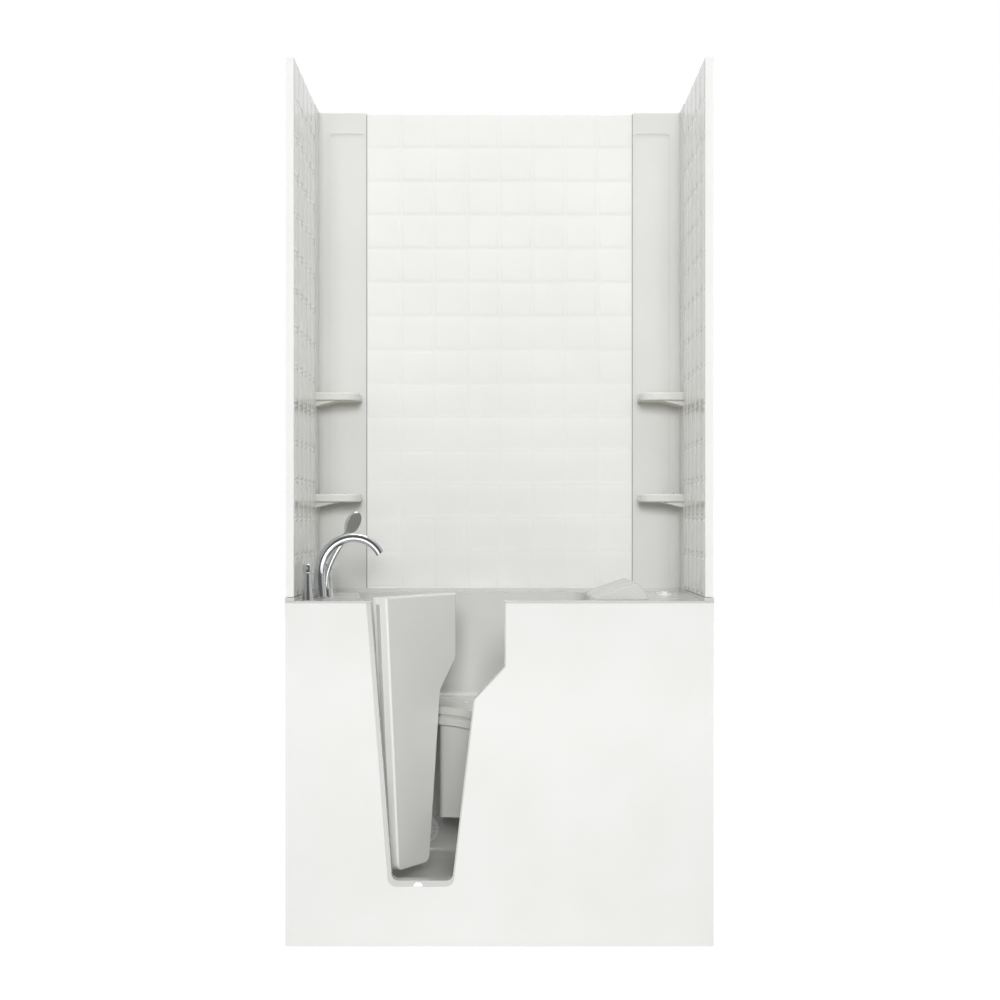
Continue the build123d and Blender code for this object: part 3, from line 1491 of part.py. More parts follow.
def make_valve(plane):
    """A valve column: a flared base that narrows to the neck under its lever."""
    with BuildPart() as valve:
        with BuildSketch(plane, mode=Mode.PRIVATE) as foot_ring:
            Circle(valve_base_radius)
        with BuildSketch(plane.offset(valve_height * 0.3), mode=Mode.PRIVATE) as waist:
            Circle(valve_base_radius * 0.8)
        with BuildSketch(plane.offset(valve_height), mode=Mode.PRIVATE) as neck:
            Circle(valve_neck_radius)
        loft([foot_ring.sketch, waist.sketch, neck.sketch])
        add_shank(plane)
        stem_bore_start = valve_height - valve_stem_length - 1
        cut_round(plane, valve_stem_radius + valve_stem_clearance, stem_bore_start, valve_height + 1)
    return valve


def make_lever(plane, turn):
    """A lever hub with its handle, turned about the valve's axis."""
    base = valve_height + valve_gap
    with BuildPart() as lever:
        add_round(plane, valve_hub_radius, base, base + valve_hub_height)
        hub_rims = lever.edges().group_by(Axis.Z)
        fillet(hub_rims[-1], radius=6)
        fillet(lever.edges().group_by(Axis.Z)[0], radius=3)
        arm_plane = plane.offset(base + valve_hub_height - 6 - lever_thickness)
        with BuildSketch(arm_plane, mode=Mode.PRIVATE) as arm:
            with Locations(Location((0, 0), turn)):
                with Locations((lever_length / 2, 0)):
                    SlotCenterToCenter(lever_length, 11)
        extrude(arm.sketch, amount=lever_thickness)
        add_round(plane, valve_stem_radius, valve_height - valve_stem_length, base + 2)
    return lever


hot_plane = tap_plane(hot_valve_x, hot_valve_depth)
cold_plane = tap_plane(rear_tap_x, cold_valve_depth)
diverter_plane = tap_plane(rear_tap_x, diverter_depth)
keep(make_valve(hot_plane), "hot_valve")
keep(make_lever(hot_plane, -80), "hot_lever")
keep(make_valve(cold_plane), "cold_valve")
keep(make_lever(cold_plane, 60), "cold_lever")
keep(make_valve(diverter_plane), "diverter_valve")

with BuildPart() as diverter_knob:
    base = valve_height + valve_gap
    with BuildSketch(diverter_plane.offset(base), mode=Mode.PRIVATE) as knob:
        Circle(valve_hub_radius + 2)
        with PolarLocations(valve_hub_radius + 4, 5):
            Circle(5, mode=Mode.SUBTRACT)
    extrude(knob.sketch, amount=valve_hub_height)
    fillet(diverter_knob.edges().group_by(Axis.Z)[-1], radius=2)
    add_round(diverter_plane, valve_stem_radius, valve_height - valve_stem_length, base + 2)
keep(diverter_knob, "diverter_knob")

spout_plane = tap_plane(spout_x, spout_depth)
with BuildPart() as spout:
    with BuildLine(mode=Mode.PRIVATE) as spout_line:
        Spline(
            (spout_x, front_y + spout_depth, rim_height + 4),
            (spout_x - 2, front_y + spout_depth, rim_height + 0.52 * spout_rise),
            (spout_x + 0.26 * spout_reach, front_y + spout_depth, rim_height + 0.92 * spout_rise),
            (spout_x + 0.58 * spout_reach, front_y + spout_depth, rim_height + spout_rise),
            (spout_x + spout_reach, front_y + spout_depth, rim_height + spout_rise - spout_tip_drop),
            tangents=[(0, 0, 1), (0.62, 0, -0.78)],
        )
    line = spout_line.line
    stations = (0.0, 0.2, 0.4, 0.6, 0.8, 1.0)
    sections = []
    for station in stations:
        radius = spout_root_radius + (spout_tip_radius - spout_root_radius) * station
        with BuildSketch(Plane(origin=line @ station, z_dir=line % station), mode=Mode.PRIVATE) as ring:
            Circle(radius)
        sections.append(ring.sketch)
    loft(sections)
    tip = Plane(origin=line @ 1, z_dir=line % 1)
    cut_round(tip, spout_bore_radius, -16, 2)
    add_round(spout_plane, spout_base_radius, 0, 6)
    add_shank(spout_plane)
keep(spout, "spout")

shower_plane = tap_plane(shower_x, shower_depth)
with BuildPart() as shower_holder:
    with BuildSketch(shower_plane, mode=Mode.PRIVATE) as foot_ring:
        Circle(holder_radius + 2)
    with BuildSketch(shower_plane.offset(holder_height), mode=Mode.PRIVATE) as top_ring:
        Circle(holder_radius - 2)
    loft([foot_ring.sketch, top_ring.sketch])
    add_shank(shower_plane)
    cut_round(shower_plane, holder_bore_radius, 3, holder_height + 1)
keep(shower_holder, "shower_holder")

lean = radians(shower_lean)
handle_y = front_y + shower_depth
head_centre = Vector(
    shower_x + shower_height * tan(lean) * 0.82,
    handle_y,
    rim_height + shower_height - shower_head_length * 0.42,
)
with BuildPart() as hand_shower:
    with BuildLine(mode=Mode.PRIVATE) as handle_line:
        Spline(
            (shower_x, handle_y, rim_height + 3 + valve_gap),
            (shower_x + 2, handle_y, rim_height + shower_height * 0.3),
            (shower_x + shower_height * tan(lean) * 0.45, handle_y, rim_height + shower_height * 0.62),
            head_centre,
            tangents=[(0, 0, 1), (sin(lean * 1.4), 0, cos(lean * 1.4))],
        )
    line = handle_line.line
    sections = []
    for station in (0.0, 0.25, 0.5, 0.75, 1.0):
        radius = handle_foot_radius + (handle_top_radius - handle_foot_radius) * station
        with BuildSketch(Plane(origin=line @ station, z_dir=line % station), mode=Mode.PRIVATE) as ring:
            Circle(radius)
        sections.append(ring.sketch)
    loft(sections)
    head_plane = Plane(
        origin=head_centre,
        x_dir=(sin(lean * 1.4), 0, cos(lean * 1.4)),
        z_dir=(0.62 * cos(lean * 1.4), -0.78, -0.62 * sin(lean * 1.4)),
    )
    half_length = shower_head_length / 2
    half_width = shower_head_width / 2
    ovals = []
    for level, share in ((-0.5, 0.5), (-0.2, 0.88), (0.15, 1.0), (0.5, 0.9)):
        with BuildSketch(head_plane.offset(level * shower_head_thickness), mode=Mode.PRIVATE) as oval:
            Ellipse(half_length * share, half_width * share)
        ovals.append(oval.sketch)
    loft(ovals)
keep(hand_shower, "hand_shower")

hot_y = front_y + hot_valve_depth
spout_y = front_y + spout_depth
cold_y = front_y + cold_valve_depth
diverter_y = front_y + diverter_depth
shank_end = rim_height - tap_shank_length
pipe_top = shank_end
with BuildPart() as supply_pipes:
    for x, y in ((hot_valve_x, hot_y), (rear_tap_x, cold_y)):
        add_pipe(
            [
                (x, y, pipe_top),
                (x, y, pipe_tail_turn_height),
                (pipe_tail_x, y, pipe_tail_turn_height),
                (pipe_tail_x, y, pipe_tail_height),
            ],
            pipe_radius, pipe_tail_bend,
        )
        with Locations((pipe_tail_x, y, pipe_tail_height)):
            Cylinder(pipe_tail_radius, pipe_tail_length, align=(Align.CENTER, Align.CENTER, Align.MIN))
    add_pipe([(spout_x, spout_y, cross_pipe_height), (spout_x, spout_y, pipe_top)], pipe_radius)
    add_pipe([(shower_x, handle_y, cross_pipe_height), (shower_x, handle_y, pipe_top)], pipe_radius)
    add_pipe(
        [(rear_tap_x, diverter_y, cross_pipe_height), (rear_tap_x, diverter_y, pipe_top)],
        pipe_radius,
    )
    add_pipe(
        [
            (hot_valve_x, hot_y, cross_pipe_height),
            (spout_x, spout_y, cross_pipe_height),
            (shower_x, handle_y, cross_pipe_height),
            (rear_tap_x, cold_y, cross_pipe_height),
            (rear_tap_x, diverter_y, cross_pipe_height),
        ],
        pipe_radius * 0.9, 12,
    )
keep(supply_pipes, "supply_pipes")
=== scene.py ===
import bpy
import bmesh
import json
from math import pi, radians
from mathutils import Matrix, Vector


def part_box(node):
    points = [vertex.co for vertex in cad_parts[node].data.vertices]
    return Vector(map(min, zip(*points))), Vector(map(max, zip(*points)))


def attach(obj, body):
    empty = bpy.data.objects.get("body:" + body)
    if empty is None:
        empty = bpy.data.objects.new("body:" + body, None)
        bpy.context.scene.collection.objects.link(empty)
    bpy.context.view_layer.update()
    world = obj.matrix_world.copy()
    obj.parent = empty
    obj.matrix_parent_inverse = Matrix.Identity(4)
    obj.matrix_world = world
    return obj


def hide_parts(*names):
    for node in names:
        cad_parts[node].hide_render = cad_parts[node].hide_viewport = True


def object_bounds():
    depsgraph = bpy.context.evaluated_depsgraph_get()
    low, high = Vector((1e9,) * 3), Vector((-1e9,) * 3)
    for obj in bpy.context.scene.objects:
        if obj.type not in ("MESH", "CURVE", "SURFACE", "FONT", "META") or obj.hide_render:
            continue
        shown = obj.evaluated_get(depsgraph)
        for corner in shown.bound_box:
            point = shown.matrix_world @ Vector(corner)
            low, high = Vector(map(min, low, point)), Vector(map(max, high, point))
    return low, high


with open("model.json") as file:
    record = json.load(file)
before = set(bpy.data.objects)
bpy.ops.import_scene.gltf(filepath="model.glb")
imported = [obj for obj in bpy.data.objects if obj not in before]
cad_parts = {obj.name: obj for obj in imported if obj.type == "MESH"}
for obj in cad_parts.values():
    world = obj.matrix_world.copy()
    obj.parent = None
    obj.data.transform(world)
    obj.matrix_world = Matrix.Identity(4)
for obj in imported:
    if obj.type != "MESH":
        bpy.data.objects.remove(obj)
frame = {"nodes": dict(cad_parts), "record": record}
cad_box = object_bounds()

# Walk-in bathtub with a door, a tiled wall surround and a deck tap set. Metres.
# X to the right, Y to the back, Z up. The origin is on the floor under the tub's middle.

MM = 0.001
front_y = cad_box[0].y


# Camera and lights

camera_data = bpy.data.cameras.new("camera")
camera_data.lens = 61.25
camera_data.sensor_width = 36
camera_data.shift_x = 0.0005
camera_data.shift_y = 0.021
camera = bpy.data.objects.new("camera", camera_data)
camera.location = (0, -5.078, 1.188)
camera.rotation_euler = (pi / 2, 0, 0)
bpy.context.scene.collection.objects.link(camera)
bpy.context.scene.camera = camera
bpy.context.scene.view_settings.view_transform = "Standard"


def area_light(name, place, target, size, power):
    """A soft rectangular studio light that faces a target."""
    lamp = bpy.data.lights.new(name, "AREA")
    lamp.shape = "RECTANGLE"
    lamp.size, lamp.size_y = size
    lamp.energy = power
    holder = bpy.data.objects.new(name, lamp)
    holder.location = place
    holder.rotation_euler = (Vector(target) - Vector(place)).to_track_quat("-Z", "Y").to_euler()
    bpy.context.scene.collection.objects.link(holder)
    return holder


front_light = area_light("front_light", (0, -8.3, 3.4), (0, 0, 1.2), (3, 2.4), 490)
front_light.visible_glossy = False
area_light("top_light", (0, -0.2, 4.2), (0, 0.3, 1.9), (1.6, 0.5), 20)


# Materials

def linear(hex_colour):
    """An sRGB hex colour as linear red, green, blue and alpha."""
    parts = [int(hex_colour[i:i + 2], 16) / 255 for i in (1, 3, 5)]
    return [c / 12.92 if c <= 0.04045 else ((c + 0.055) / 1.055) ** 2.4 for c in parts] + [1.0]


def add_node(tree, kind, inputs=None, **properties):
    """Add one node. Its properties are set, and each input takes a value or another node's output."""
    made = tree.nodes.new(kind)
    for name, value in properties.items():
        setattr(made, name, value)
    for name, value in (inputs or {}).items():
        if isinstance(value, bpy.types.NodeSocket):
            tree.links.new(value, made.inputs[name])
        else:
            made.inputs[name].default_value = value
    return made


def per_mm(size):
    """A pattern scale whose features are that many millimetres across."""
    return 1000 / size


def start_material(name, colour, roughness, metallic=0.0, ior=1.5):
    """A principled material with its constant values set, and its object coordinates."""
    material = bpy.data.materials.new(name)
    material.use_nodes = True
    tree = material.node_tree
    shader = tree.nodes["Principled BSDF"]
    shader.inputs["Base Color"].default_value = linear(colour)
    shader.inputs["Roughness"].default_value = roughness
    shader.inputs["Metallic"].default_value = metallic
    if not metallic:
        shader.inputs["IOR"].default_value = ior
    place = add_node(tree, "ShaderNodeTexCoord").outputs["Object"]
    return material, tree, shader, place


def noise(tree, place, size, detail=2.0, **more):
    """Soft noise whose features are that many millimetres across."""
    inputs = {"Vector": place, "Scale": per_mm(size), "Detail": detail, **more}
    return add_node(tree, "ShaderNodeTexNoise", inputs).outputs["Fac"]


def spread(tree, value, low, high, start=0.3, end=0.7):
    """Noise from start to end turned into a value from low to high."""
    inputs = {"Value": value, "From Min": start, "From Max": end, "To Min": low, "To Max": high}
    return add_node(tree, "ShaderNodeMapRange", inputs).outputs["Result"]


def mix_colour(tree, share, first, second):
    """A blend of two colours, each given as hex or as an output."""
    inputs = {"Factor": share}
    for socket, colour in ((6, first), (7, second)):
        inputs[socket] = linear(colour) if isinstance(colour, str) else colour
    return add_node(tree, "ShaderNodeMix", inputs, data_type="RGBA").outputs[2]


def mix_value(tree, share, first, second):
    """A blend of two numbers."""
    return add_node(tree, "ShaderNodeMix", {"Factor": share, 2: first, 3: second}).outputs[0]


def calc(tree, operation, first, second=0.0):
    """One sum on two numbers."""
    return add_node(tree, "ShaderNodeMath", {0: first, 1: second}, operation=operation).outputs[0]


def link_surface(tree, shader, colour=None, roughness=None, height=None, depth=0.1):
    """Link a colour, a roughness and a relief whose full height is depth millimetres."""
    if colour:
        tree.links.new(colour, shader.inputs["Base Color"])
    if roughness:
        tree.links.new(roughness, shader.inputs["Roughness"])
    if height:
        settings = {"Height": height, "Distance": depth * MM, "Strength": 1.0}
        relief = add_node(tree, "ShaderNodeBump", settings)
        tree.links.new(relief.outputs["Normal"], shader.inputs["Normal"])


def reverse_side(tree, place, centre):
    """1 on surfaces that face away from a centre, where the bare laminate shows, and 0 elsewhere."""
    outward = add_node(tree, "ShaderNodeVectorMath", {0: place, 1: centre}, operation="SUBTRACT")
    normal = add_node(tree, "ShaderNodeNewGeometry").outputs["Normal"]
    directions = {0: outward.outputs["Vector"], 1: normal}
    facing = add_node(tree, "ShaderNodeVectorMath", directions, operation="DOT_PRODUCT")
    return calc(tree, "GREATER_THAN", facing.outputs["Value"], 0.0)


def laminate(tree, place):
    """Chopped glass strands rolled out in resin: colour and height of a moulding's rough reverse."""
    strands = noise(tree, place, 9, 6.0, Distortion=1.6)
    patches = noise(tree, place, 70)
    tint = mix_colour(tree, strands, "#DCDACF", "#C5C3B6")
    return mix_colour(tree, spread(tree, patches, 0.0, 0.35), tint, "#E6E4DC"), strands


def moulded_finish(name, colour, shade, roughness, centres=(), split_height=None, bare_from_y=-1.0):
    """Glossy face of a moulding with a faint wave in it, and bare laminate on its reverse.

    The reverse faces away from the first centre below the split height and from the second above it.
    Above the second height, and in front of bare_from_y, all of the moulding is glossy.
    """
    material, tree, shader, place = start_material(name, colour, roughness)
    cloud = noise(tree, place, 240)
    wiped = noise(tree, place, 45, 3.0)
    wave = calc(tree, "MULTIPLY", noise(tree, place, 60), 0.3)
    face = mix_colour(tree, spread(tree, cloud, 0.0, 1.0), colour, shade)
    face_rough = spread(tree, wiped, roughness - 0.02, roughness + 0.05)
    if not centres:
        link_surface(tree, shader, face, face_rough, wave, 0.5)
        return material
    glass_colour, strands = laminate(tree, place)
    back = reverse_side(tree, place, centres[0])
    if split_height:
        split_place = add_node(tree, "ShaderNodeSeparateXYZ", {"Vector": place}).outputs
        height, depth = split_place["Z"], split_place["Y"]
        above = calc(tree, "GREATER_THAN", height, split_height[0])
        back = mix_value(tree, above, back, reverse_side(tree, place, centres[1]))
        back = calc(tree, "MULTIPLY", back, calc(tree, "LESS_THAN", height, split_height[1]))
        back = calc(tree, "MULTIPLY", back, calc(tree, "GREATER_THAN", depth, bare_from_y))
    link_surface(
        tree, shader,
        mix_colour(tree, back, face, glass_colour),
        mix_value(tree, back, face_rough, 0.75),
        mix_value(tree, back, wave, strands),
        0.5,
    )
    return material


# Sprayed gelcoat on fibreglass: an even warm white with a high gloss.
# The print of the laminate under it shows as a faint wave.
gelcoat = moulded_finish("gelcoat", "#F1F1EF", "#EDEDEA", 0.14)
# Painted shade: the shell's gelcoat is coloured a shade greyer than the apron's.
gelcoat_shell_painted_shade = moulded_finish(
    "gelcoat_on_laminate_shell_painted_shade", "#D4D4D2", "#D1D1CE", 0.14,
    [(-0.32, 0, 0.35), (-0.05, 0, 0.85)], (0.6385, 0.9585), -0.32,
)
# The shell and the neck rest are the same gelcoat as the apron and the door. They are coloured a shade
# greyer as painted shade for the dimmer light inside the tub.
gelcoat_neck_painted_shade = moulded_finish("gelcoat_neck_rest", "#D4D4D2", "#D1D1CE", 0.2)
gelcoat_apron = moulded_finish("gelcoat_on_laminate_apron", "#F1F1EF", "#EDEDEA", 0.14, [(0, -5, 0.5)])
# Vacuum-formed acrylic sheet: white, glossier than gelcoat, with laminate sprayed on its back.
# The side walls and the columns are the same acrylic as the back wall. The side walls' copy is a shade
# brighter as painted light, and the columns' copy is a shade greyer as painted shade.
acrylic_room = [(0, -0.6, 5.0)]
acrylic = moulded_finish("vacuum_formed_acrylic", "#EAEAE8", "#E7E7E4", 0.1, acrylic_room)
acrylic_side_painted_light = moulded_finish("vacuum_formed_acrylic_side", "#F5F5F3", "#F2F2EF", 0.1, acrylic_room)
acrylic_column_painted_shade = moulded_finish("column_acrylic_painted_shade", "#DCDCDA", "#D9D9D6", 0.1, acrylic_room)


def metal_finish(name, colour, roughness, haze, haze_size):
    """A metal whose shine is broken by faint haze."""
    material, tree, shader, place = start_material(name, colour, roughness, metallic=1.0)
    film = noise(tree, place, haze_size, 3.0)
    link_surface(tree, shader, roughness=spread(tree, film, roughness, roughness + haze))
    return material


# Chromium plate on polished brass: a cold mirror with a trace of water film.
chrome = metal_finish("chrome_plate", "#DDDFE1", 0.04, 0.04, 14)

# Machined brass: yellow, with fine turning marks that dull it in rings.
brass = metal_finish("machined_brass", "#B98F4C", 0.28, 0.16, 6)


def brushed_finish(name, colour, roughness, stretch):
    """A metal with fine brush lines along one direction."""
    material, tree, shader, place = start_material(name, colour, roughness, metallic=1.0)
    along = add_node(tree, "ShaderNodeMapping", {"Vector": place, "Scale": stretch}).outputs["Vector"]
    lines = noise(tree, along, 1.2, 4.0)
    shine = spread(tree, lines, roughness, roughness + 0.15)
    link_surface(tree, shader, roughness=shine, height=lines, depth=0.02)
    return material


# Brushed stainless sheet: soft grey shine with grain along its length.
# The grit lines are drawn 1.2 mm wide, coarser than real ones, so that they show.
stainless = brushed_finish("brushed_stainless", "#B9BBBC", 0.26, (1.0, 1.0, 0.05))

# Galvanised square tube: cool grey zinc with blue-grey crystal spangle about 12 mm across.
frame_steel, tree, shader, place = start_material("galvanised_steel", "#A4A8AB", 0.42, metallic=1.0)
spangle = add_node(tree, "ShaderNodeTexVoronoi", {"Vector": place, "Scale": per_mm(12)})
crystal = add_node(tree, "ShaderNodeSeparateColor", {"Color": spangle.outputs["Color"]}).outputs["Red"]
link_surface(
    tree, shader,
    mix_colour(tree, crystal, "#9CA1A5", "#BBBFC2"),
    spread(tree, crystal, 0.34, 0.56, 0.0, 1.0),
    noise(tree, place, 2.5, 3.0), 0.03,
)


def moulded_plastic(name, colour, shade, roughness, grain, depth, ior=1.5):
    """A moulded plastic with a fine grain from its mould."""
    material, tree, shader, place = start_material(name, colour, roughness, ior=ior)
    cloud = noise(tree, place, 90)
    grains = noise(tree, place, grain, 2.0)
    link_surface(
        tree, shader,
        mix_colour(tree, spread(tree, cloud, 0.0, 1.0), colour, shade),
        spread(tree, grains, roughness - 0.04, roughness + 0.06),
        grains, depth,
    )
    return material


# Moulded natural-black rubber: matt, nearly black, with a powdery bloom.
rubber = moulded_plastic("moulded_rubber", "#2A2A2B", "#353536", 0.62, 1.6, 0.06, ior=1.52)
# Extruded silicone: soft translucent grey-white with a satin skin.
seal = moulded_plastic("extruded_silicone", "#C9CAC8", "#BEBFBD", 0.45, 3.0, 0.03, ior=1.41)
# Extruded PVC pipe: bluish white, satin, with slight draw lines.
pvc_white = moulded_plastic("extruded_pvc", "#E9EBEA", "#DFE2E1", 0.34, 5.0, 0.03, ior=1.54)
# Glass-filled polypropylene housing: black with a spark-eroded grain of about 1 mm.
pump_black = moulded_plastic(
    "glass_filled_polypropylene", "#242628", "#2D2F31", 0.5, 1.2, 0.12, ior=1.49,
)
# Powder-coated cast aluminium: mid grey with orange peel of about 3 mm.
motor_grey = moulded_plastic("powder_coated_aluminium", "#7A7E82", "#717579", 0.44, 3.0, 0.08, ior=1.5)
# Moulded ABS trim: glossy white, a shade cooler than the gelcoat.
trim_white = moulded_plastic("moulded_abs", "#F0F1F1", "#ECEDED", 0.2, 2.0, 0.015, ior=1.54)

finishes = {
    "gelcoat": gelcoat, "surround_acrylic": acrylic, "chrome": chrome, "stainless": stainless,
    "frame_steel": frame_steel, "rubber": rubber, "seal": seal, "pvc_white": pvc_white,
    "pump_black": pump_black, "motor_grey": motor_grey, "brass": brass, "trim_white": trim_white,
}
slot_of = {part["node"]: part["material_slot"] for part in frame["record"]["subparts"]}
own_finish = {
    "tub_shell": gelcoat_shell_painted_shade, "front_apron": gelcoat_apron,
    "left_corner_column": acrylic_column_painted_shade, "right_corner_column": acrylic_column_painted_shade,
}
for name, node in frame["nodes"].items():
    node.data.materials.clear()
    node.data.materials.append(own_finish.get(name, finishes[slot_of[name]]))


# Shaping

def open_piece(name):
    """Name the object just made, put its place in its mesh and open it with nothing selected."""
    piece = bpy.context.object
    piece.name = name
    piece.data.name = name
    bpy.ops.object.transform_apply(location=True, rotation=True, scale=True)
    bpy.ops.object.mode_set(mode="EDIT")
    bpy.ops.mesh.select_all(action="DESELECT")
    return piece


def select(piece, kind, wanted):
    """Select only the vertices, edges or faces that are wanted."""
    bpy.ops.mesh.select_mode(type={"verts": "VERT", "edges": "EDGE", "faces": "FACE"}[kind])
    bpy.ops.mesh.select_all(action="DESELECT")
    shape = bmesh.from_edit_mesh(piece.data)
    getattr(shape, kind).index_update()
    for part in getattr(shape, kind):
        if wanted(part):
            part.select_set(True)
    bmesh.update_edit_mesh(piece.data)


def close_piece(piece, nodes, body, finish, angle=30):
    """Turn the normals outward, smooth the soft edges and let the piece stand for its CAD nodes."""
    bpy.ops.mesh.select_all(action="SELECT")
    bpy.ops.mesh.normals_make_consistent(inside=False)
    bpy.ops.object.mode_set(mode="OBJECT")
    if angle:
        bpy.ops.object.shade_smooth_by_angle(angle=radians(angle))
    else:
        bpy.ops.object.shade_flat()
    piece.data.materials.clear()
    piece.data.materials.append(finish)
    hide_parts(*nodes)
    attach(piece, body)
    piece.select_set(False)


def copy_node(name, node):
    """A merged copy of a CAD node's mesh, opened for shaping."""
    bpy.ops.object.select_all(action="DESELECT")
    piece = bpy.data.objects.new(name, frame["nodes"][node].data.copy())
    bpy.context.scene.collection.objects.link(piece)
    bpy.context.view_layer.objects.active = piece
    piece.select_set(True)
    open_piece(name)
    bpy.ops.mesh.select_all(action="SELECT")
    bpy.ops.mesh.remove_doubles(threshold=0.01 * MM)
    bpy.ops.mesh.select_all(action="DESELECT")
    return piece


# Tiled wall panels: one sheet each, formed into square pillowed tiles with a shallow joint between them

tile_height = 106.6 * MM
tile_rows = 14
tile_rise = 2 * MM
panel_gap = 1.5 * MM
tile_profile = ((2.2, 0), (3, 1.2), (8, 0.5), (16, 0.3))


def tiled_wall(name, node, turn, columns, column_pitch, middle):
    """A tiled sheet that faces along turn, with even tiles but for the cut ones at its edges."""
    low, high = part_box(node)
    outward = Matrix.Rotation(turn, 3, "Z") @ Vector((0, -1, 0))
    bpy.ops.object.select_all(action="DESELECT")
    bpy.ops.mesh.primitive_grid_add(
        x_subdivisions=columns, y_subdivisions=tile_rows, size=1,
        location=middle, rotation=(pi / 2, 0, turn),
    )
    bpy.context.object.scale = (columns * column_pitch, tile_rows * tile_height, 1)
    piece = open_piece(name)
    through = max(range(3), key=lambda axis: abs(outward[axis]))
    thickness = high[through] - low[through]
    for axis in {0, 1, 2} - {through}:
        places = [vertex.co[axis] for vertex in bmesh.from_edit_mesh(piece.data).verts]
        edges = ((min(places), low[axis] + panel_gap), (max(places), high[axis] - panel_gap))
        for place, target in edges:
            select(piece, "verts", lambda vertex: abs(vertex.co[axis] - place) < 0.1 * MM)
            bpy.ops.transform.translate(value=[target - place if i == axis else 0 for i in range(3)])
    bpy.ops.mesh.select_mode(type="FACE")
    bpy.ops.mesh.select_all(action="SELECT")
    for width, rise in tile_profile:
        bpy.ops.mesh.inset(thickness=width * MM, depth=rise * MM, use_individual=True)
    select(piece, "edges", lambda edge: edge.is_boundary)
    inward = outward * (tile_rise - thickness)
    bpy.ops.mesh.extrude_edges_move(TRANSFORM_OT_translate={"value": inward})
    bpy.ops.mesh.edge_face_add()
    close_piece(piece, [node], "tub", acrylic_side_painted_light if turn else acrylic)


back_low, back_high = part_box("back_wall_panel")
left_low, left_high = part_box("left_wall_panel")
right_low, right_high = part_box("right_wall_panel")
tiles_middle_z = back_high.z - tile_rows * tile_height / 2
back_columns = 8
back_pitch = 104 * MM
side_columns = 5
side_pitch = 110 * MM
side_middle_y = front_y + side_columns * side_pitch / 2
tiled_wall(
    "back_wall", "back_wall_panel", 0, back_columns, back_pitch,
    (0, back_low.y + tile_rise, tiles_middle_z),
)
tiled_wall(
    "left_wall", "left_wall_panel", pi / 2, side_columns, side_pitch,
    (left_high.x - tile_rise, side_middle_y, tiles_middle_z),
)
tiled_wall(
    "right_wall", "right_wall_panel", -pi / 2, side_columns, side_pitch,
    (right_low.x + tile_rise, side_middle_y, tiles_middle_z),
)

# Sealant joints: a bead set back between the back wall and each corner column. It is coloured dark grey
# as painted shade for the shadow in the joint.
joint_setback = 5 * MM
joint_round = 1 * MM
joint_width = 4 * panel_gap
bead_front_y = back_low.y + 2 * joint_setback
back_middle = (back_low + back_high) / 2
back_size = back_high - back_low
joint_painted_shade = moulded_plastic("sealant_painted_shade", "#77787A", "#828385", 0.6, 3.0, 0.05, ior=1.41)
for side, name in ((-1, "left_joint"), (1, "right_joint")):
    bpy.ops.object.select_all(action="DESELECT")
    bpy.ops.mesh.primitive_cube_add(size=1, location=(side * back_high.x, back_middle.y, back_middle.z))
    bpy.context.object.scale = (joint_width, back_size.y - 2 * joint_setback, back_size.z)
    joint = open_piece(name)
    select(joint, "edges", lambda edge: all(vertex.co.y < bead_front_y for vertex in edge.verts))
    bpy.ops.mesh.bevel(offset=joint_round, segments=3, affect="EDGES")
    close_piece(joint, [], "tub", joint_painted_shade)

# Apron: the moulded panel with its two fields raised behind sloping edges
field_rise = 1.5 * MM
apron = copy_node("apron", "front_apron")
mesh = bmesh.from_edit_mesh(apron.data)
mesh.verts.index_update()
# Faces of the front that join by an edge are one island: each field, and the face around the fields.
unsorted = {
    face for face in mesh.faces
    if face.normal.y < -0.99 and abs(face.calc_center_median().y - front_y) < 0.1 * MM
}
islands = []
while unsorted:
    island = [unsorted.pop()]
    for face in island:
        for edge in face.edges:
            island.extend(unsorted.intersection(edge.link_faces))
            unsorted.difference_update(edge.link_faces)
    islands.append(island)
# The face around the fields is the largest island. All the others are fields.
islands.sort(key=lambda island: sum(face.calc_area() for face in island))
field_tops = {vertex for island in islands[:-1] for face in island for vertex in face.verts}
field_feet = {
    edge.other_vert(vertex) for vertex in field_tops for edge in vertex.link_edges
    if abs(edge.other_vert(vertex).co.y - vertex.co.y) > 0.9 * field_rise
    and abs(edge.other_vert(vertex).co.x - vertex.co.x) < 0.01 * MM
    and abs(edge.other_vert(vertex).co.z - vertex.co.z) < 0.01 * MM
}
foot_numbers = {vertex.index for vertex in field_feet}
face_numbers = {
    vertex.index for vertex in mesh.verts
    if abs(vertex.co.y - front_y) < 0.1 * MM and vertex not in field_tops
}
select(apron, "verts", lambda vertex: vertex.index in face_numbers)
bpy.ops.transform.translate(value=(0, field_rise, 0))
select(apron, "verts", lambda vertex: vertex.index in foot_numbers)
bpy.ops.transform.translate(value=(0, -field_rise, 0))
bpy.ops.mesh.select_all(action="SELECT")
bpy.ops.mesh.remove_doubles(threshold=0.01 * MM)
close_piece(apron, ["front_apron"], "tub", gelcoat_apron, 0)

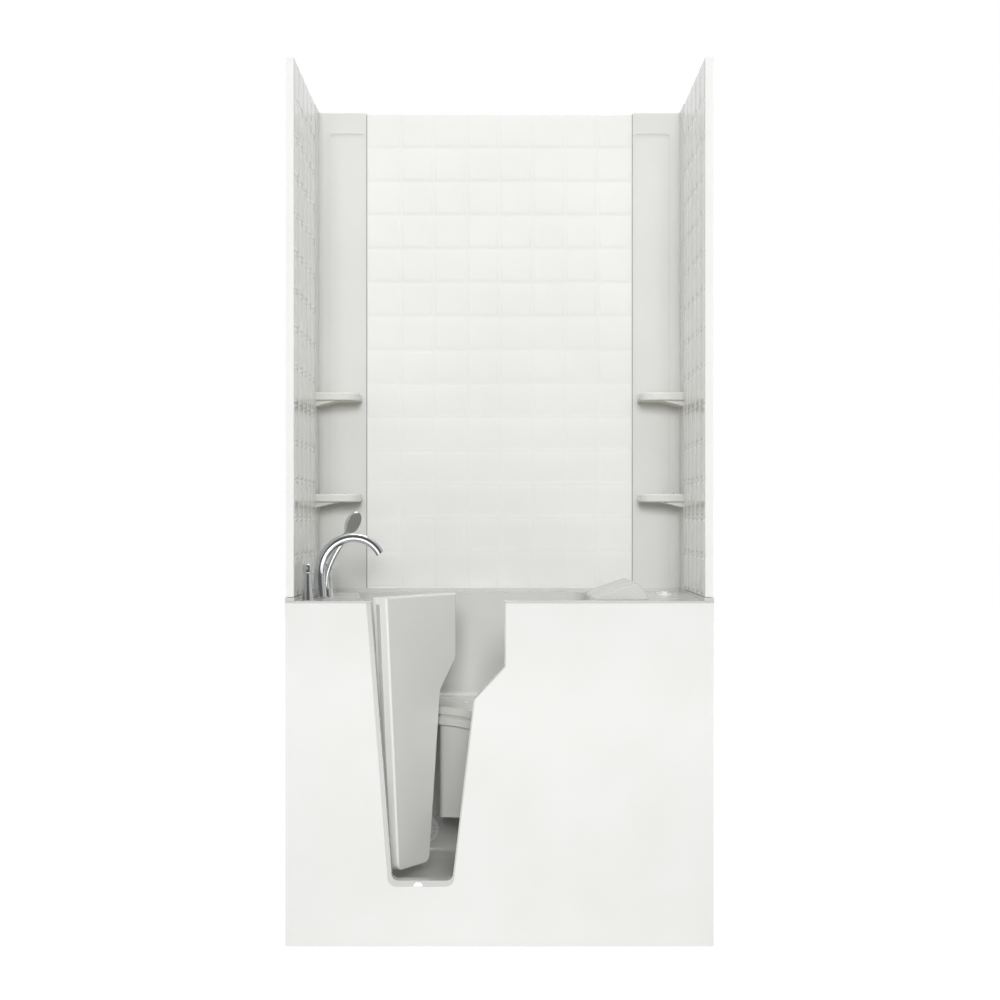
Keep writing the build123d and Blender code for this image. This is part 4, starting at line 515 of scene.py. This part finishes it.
# Neck rest: a soft-edged moulded cushion
neck_round = 9 * MM
neck = copy_node("neck_cushion", "neck_rest")
bpy.ops.mesh.select_all(action="SELECT")
bpy.ops.mesh.dissolve_limited(angle_limit=radians(2))
select(neck, "edges", lambda edge: len(edge.link_faces) == 2 and edge.calc_face_angle() > radians(25))
bpy.ops.mesh.bevel(offset=neck_round, segments=5, affect="EDGES", clamp_overlap=True)
close_piece(neck, ["neck_rest"], "tub", gelcoat_neck_painted_shade)


# Floor and background

# Painted studio floor: plain white. To the camera it is lifted to the background's white,
# and it keeps the object's shadow.
floor_white, tree, shader, place = start_material("studio_floor_paint", "#E4E4E4", 0.9)
tint = noise(tree, place, 900)
link_surface(tree, shader, mix_colour(tree, tint, "#E4E4E4", "#E2E2E2"))
rays = add_node(tree, "ShaderNodeLightPath").outputs
seen = calc(tree, "MAXIMUM", rays["Is Camera Ray"], rays["Is Glossy Ray"])
seen = calc(tree, "MAXIMUM", seen, rays["Is Transmission Ray"])
lift = add_node(tree, "ShaderNodeEmission", {"Color": linear("#FFFFFF"), "Strength": seen})
both = add_node(tree, "ShaderNodeAddShader", {0: shader.outputs[0], 1: lift.outputs[0]})
tree.links.new(both.outputs[0], tree.nodes["Material Output"].inputs["Surface"])
bpy.ops.mesh.primitive_plane_add(size=30, location=(0, 0, -0.5 * MM))
floor = bpy.context.object
floor.name = "studio_floor"
floor.data.materials.append(floor_white)

world = bpy.data.worlds.new("studio")
bpy.context.scene.world = world
world.use_nodes = True
tree = world.node_tree
rays = add_node(tree, "ShaderNodeLightPath").outputs
# In reflections the studio darkens towards the camera's side, which gives the chrome its dark streaks.
seen = calc(tree, "MAXIMUM", rays["Is Camera Ray"], rays["Is Transmission Ray"])
lit = mix_value(tree, seen, 0.2, 1.0)
direction = add_node(tree, "ShaderNodeTexCoord").outputs["Generated"]
to_front = add_node(tree, "ShaderNodeSeparateXYZ", {"Vector": direction}).outputs["Y"]
studio_dark = spread(tree, to_front, 0.12, 0.95, -0.75, 0.1)
backdrop = tree.nodes["Background"]
backdrop.inputs["Color"].default_value = linear("#FFFFFF")
tree.links.new(mix_value(tree, rays["Is Glossy Ray"], lit, studio_dark), backdrop.inputs["Strength"])
